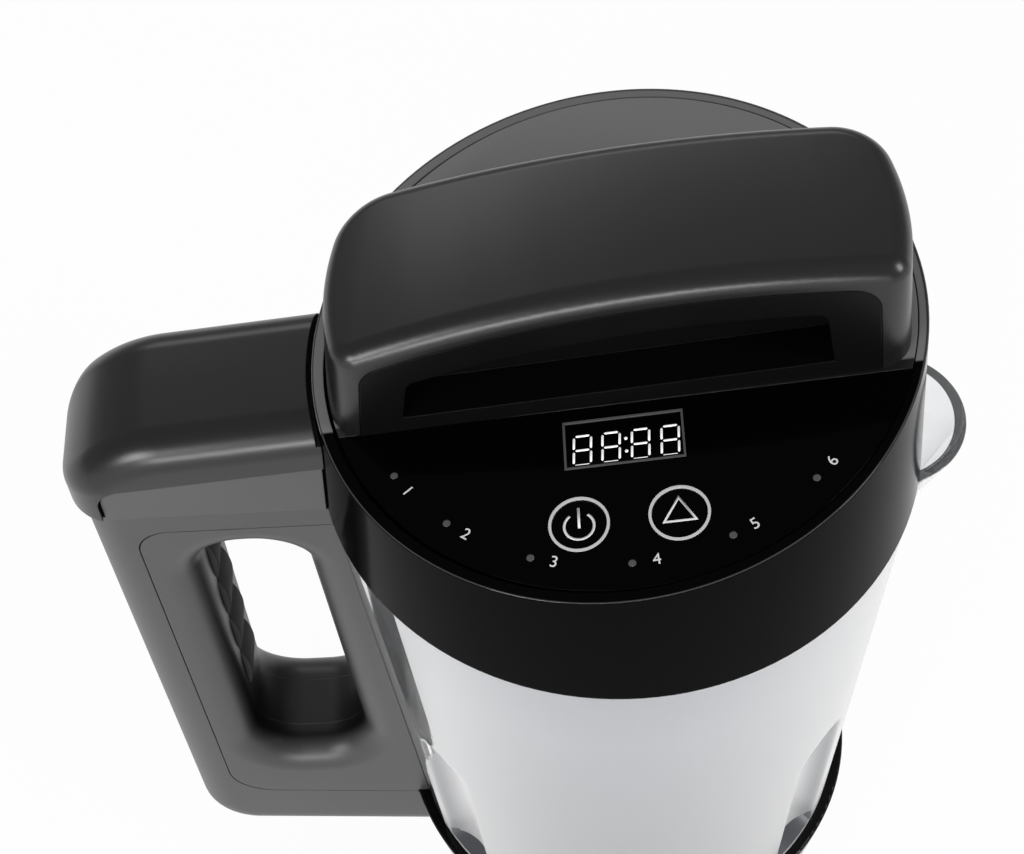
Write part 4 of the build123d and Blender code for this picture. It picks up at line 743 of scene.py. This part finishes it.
def make_digits():
    """Four digits and a colon, with every bar lit and the lowest ones faint."""
    shapes = []
    half, tall, gap, width, lean = 2.1, 4.0, 0.35, 0.55, 0.05
    for left in (-10.2, -3.2, 4.0, 11.2):
        middle_y = DISPLAY_Y - 1.5
        corners = {}
        for row in (-1, 0, 1):
            for side in (-1, 1):
                corners[row, side] = Vector((left + side * half + row * tall * lean, middle_y + row * tall))
        for row, thick in ((-1, width / 3), (0, width), (1, width)):
            inward = Vector((gap, 0))
            shapes.append(segment(corners[row, -1] + inward, corners[row, 1] - inward, thick))
        for row in (-1, 0):
            for side in (-1, 1):
                rise = Vector((0, gap))
                shapes.append(segment(corners[row, side] + rise, corners[row + 1, side] - rise, width))
    for y in (-3.2, 0.4):
        dot = arc((0.5, DISPLAY_Y + y), 0.42, 0, 360, 16)[:-1]
        shapes.append((dot, [tuple(range(16))]))
    printed("display_digits", shapes, -0.2, 0.03, lit_white, "head")


def make_symbols():
    """The power sign on the left key and the triangle on the right key."""
    power = [band(arc((-12.0, BUTTON_Y - 0.5), 3.6, 126, 414, 48), 0.62)]
    power.append(band([(-12.0, BUTTON_Y + 4.5), (-12.0, BUTTON_Y - 1.1)], 0.62))
    printed("power_sign", power, 0.0, 0.03, print_white, "power_key")
    corners = [(12.0, BUTTON_Y + 4.2), (8.2, BUTTON_Y - 2.1), (15.8, BUTTON_Y - 2.1)]
    printed("select_sign", [band(corners, 0.55, closed=True)], 0.0, 0.03, print_white, "select_key")


def make_numerals():
    """Plain numerals beside the lights."""
    for count, angle in enumerate((-148.0, -131.0, -111.0, -90.0, -69.0, -48.0)):
        text = bpy.data.curves.new("numeral_%d" % (count + 1), "FONT")
        text.body = str(count + 1)
        text.size = 4.2 * MM
        text.extrude = 0.015 * MM
        text.align_x = "CENTER"
        text.align_y = "CENTER"
        text.materials.append(print_white)
        numeral = bpy.data.objects.new("numeral_%d" % (count + 1), text)
        bpy.context.scene.collection.objects.link(numeral)
        turn = radians(angle + 5.0)
        spot = Vector((67.0 * cos(turn), 67.0 * sin(turn)))
        place = SLOPE @ Matrix.Translation((spot.x * MM, spot.y * MM, 0.02 * MM))
        numeral.matrix_world = place @ Matrix.Rotation(turn + pi / 2, 4, "Z")
        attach(numeral, "head")


make_edge_bead()
make_digits()
make_symbols()
make_numerals()


# Floor and light
def set_world():
    world = bpy.data.worlds.new("studio")
    bpy.context.scene.world = world
    world.use_nodes = True
    tree = world.node_tree
    tree.nodes.clear()
    leave = tree.nodes.new("ShaderNodeOutputWorld")
    seen = tree.nodes.new("ShaderNodeBackground")
    seen.inputs["Color"].default_value = (1, 1, 1, 1)
    seen.inputs["Strength"].default_value = 1.0
    fill = tree.nodes.new("ShaderNodeBackground")
    fill.inputs["Color"].default_value = (1, 1, 1, 1)
    fill.inputs["Strength"].default_value = 0.35
    path = tree.nodes.new("ShaderNodeLightPath")
    straight = tree.nodes.new("ShaderNodeMath")
    straight.operation = "MAXIMUM"
    link(tree, path.outputs["Is Camera Ray"], straight.inputs[0])
    link(tree, path.outputs["Is Transmission Ray"], straight.inputs[1])
    mix = tree.nodes.new("ShaderNodeMixShader")
    link(tree, straight.outputs[0], mix.inputs["Fac"])
    link(tree, fill.outputs[0], mix.inputs[1])
    link(tree, seen.outputs[0], mix.inputs[2])
    link(tree, mix.outputs[0], leave.inputs["Surface"])


def floor_material():
    material, tree, shader = new_material("floor_paint")
    shader.inputs["Base Color"].default_value = (0.9, 0.9, 0.9, 1)
    shader.inputs["Roughness"].default_value = 0.9
    glow = tree.nodes.new("ShaderNodeEmission")
    glow.inputs["Strength"].default_value = 1.0
    path = tree.nodes.new("ShaderNodeLightPath")
    either = tree.nodes.new("ShaderNodeMath")
    either.operation = "MAXIMUM"
    link(tree, path.outputs["Is Camera Ray"], either.inputs[0])
    link(tree, path.outputs["Is Transmission Ray"], either.inputs[1])
    bright = tree.nodes.new("ShaderNodeMath")
    bright.operation = "MAXIMUM"
    link(tree, either.outputs[0], bright.inputs[0])
    link(tree, path.outputs["Is Glossy Ray"], bright.inputs[1])
    share = tree.nodes.new("ShaderNodeMath")
    share.operation = "MULTIPLY"
    share.inputs[1].default_value = 0.96
    link(tree, bright.outputs[0], share.inputs[0])
    mix = tree.nodes.new("ShaderNodeMixShader")
    link(tree, share.outputs[0], mix.inputs["Fac"])
    link(tree, shader.outputs[0], mix.inputs[1])
    link(tree, glow.outputs[0], mix.inputs[2])
    link(tree, mix.outputs[0], tree.nodes["Material Output"].inputs["Surface"])
    return material


def set_floor():
    mesh = bpy.data.meshes.new("floor")
    half = 4.0
    mesh.from_pydata([(-half, -half, 0), (half, -half, 0), (half, half, 0), (-half, half, 0)], [], [(0, 1, 2, 3)])
    floor = bpy.data.objects.new("floor", mesh)
    bpy.context.scene.collection.objects.link(floor)
    mesh.materials.append(floor_material())


def soft_light(name, place, aim, size, power):
    data = bpy.data.lights.new(name, "AREA")
    data.shape = "RECTANGLE"
    data.size, data.size_y = size
    data.energy = power
    lamp = bpy.data.objects.new(name, data)
    bpy.context.scene.collection.objects.link(lamp)
    lamp.location = place
    lamp.rotation_euler = (Vector(aim) - Vector(place)).to_track_quat("-Z", "Y").to_euler()


set_world()
set_floor()
soft_light("key_light", (-0.9, -1.15, 0.75), (0, 0, 0.2), (0.5, 0.4), 9.0)
soft_light("low_light", (-0.25, -1.5, 0.36), (-0.02, 0, 0.26), (0.9, 0.16), 10.0)
soft_light("side_light", (1.1, -0.5, 0.9), (0, 0, 0.2), (0.4, 0.7), 9.0)
soft_light("back_light", (-0.25, 1.25, 1.15), (0, 0, 0.25), (1.4, 0.35), 4.0)
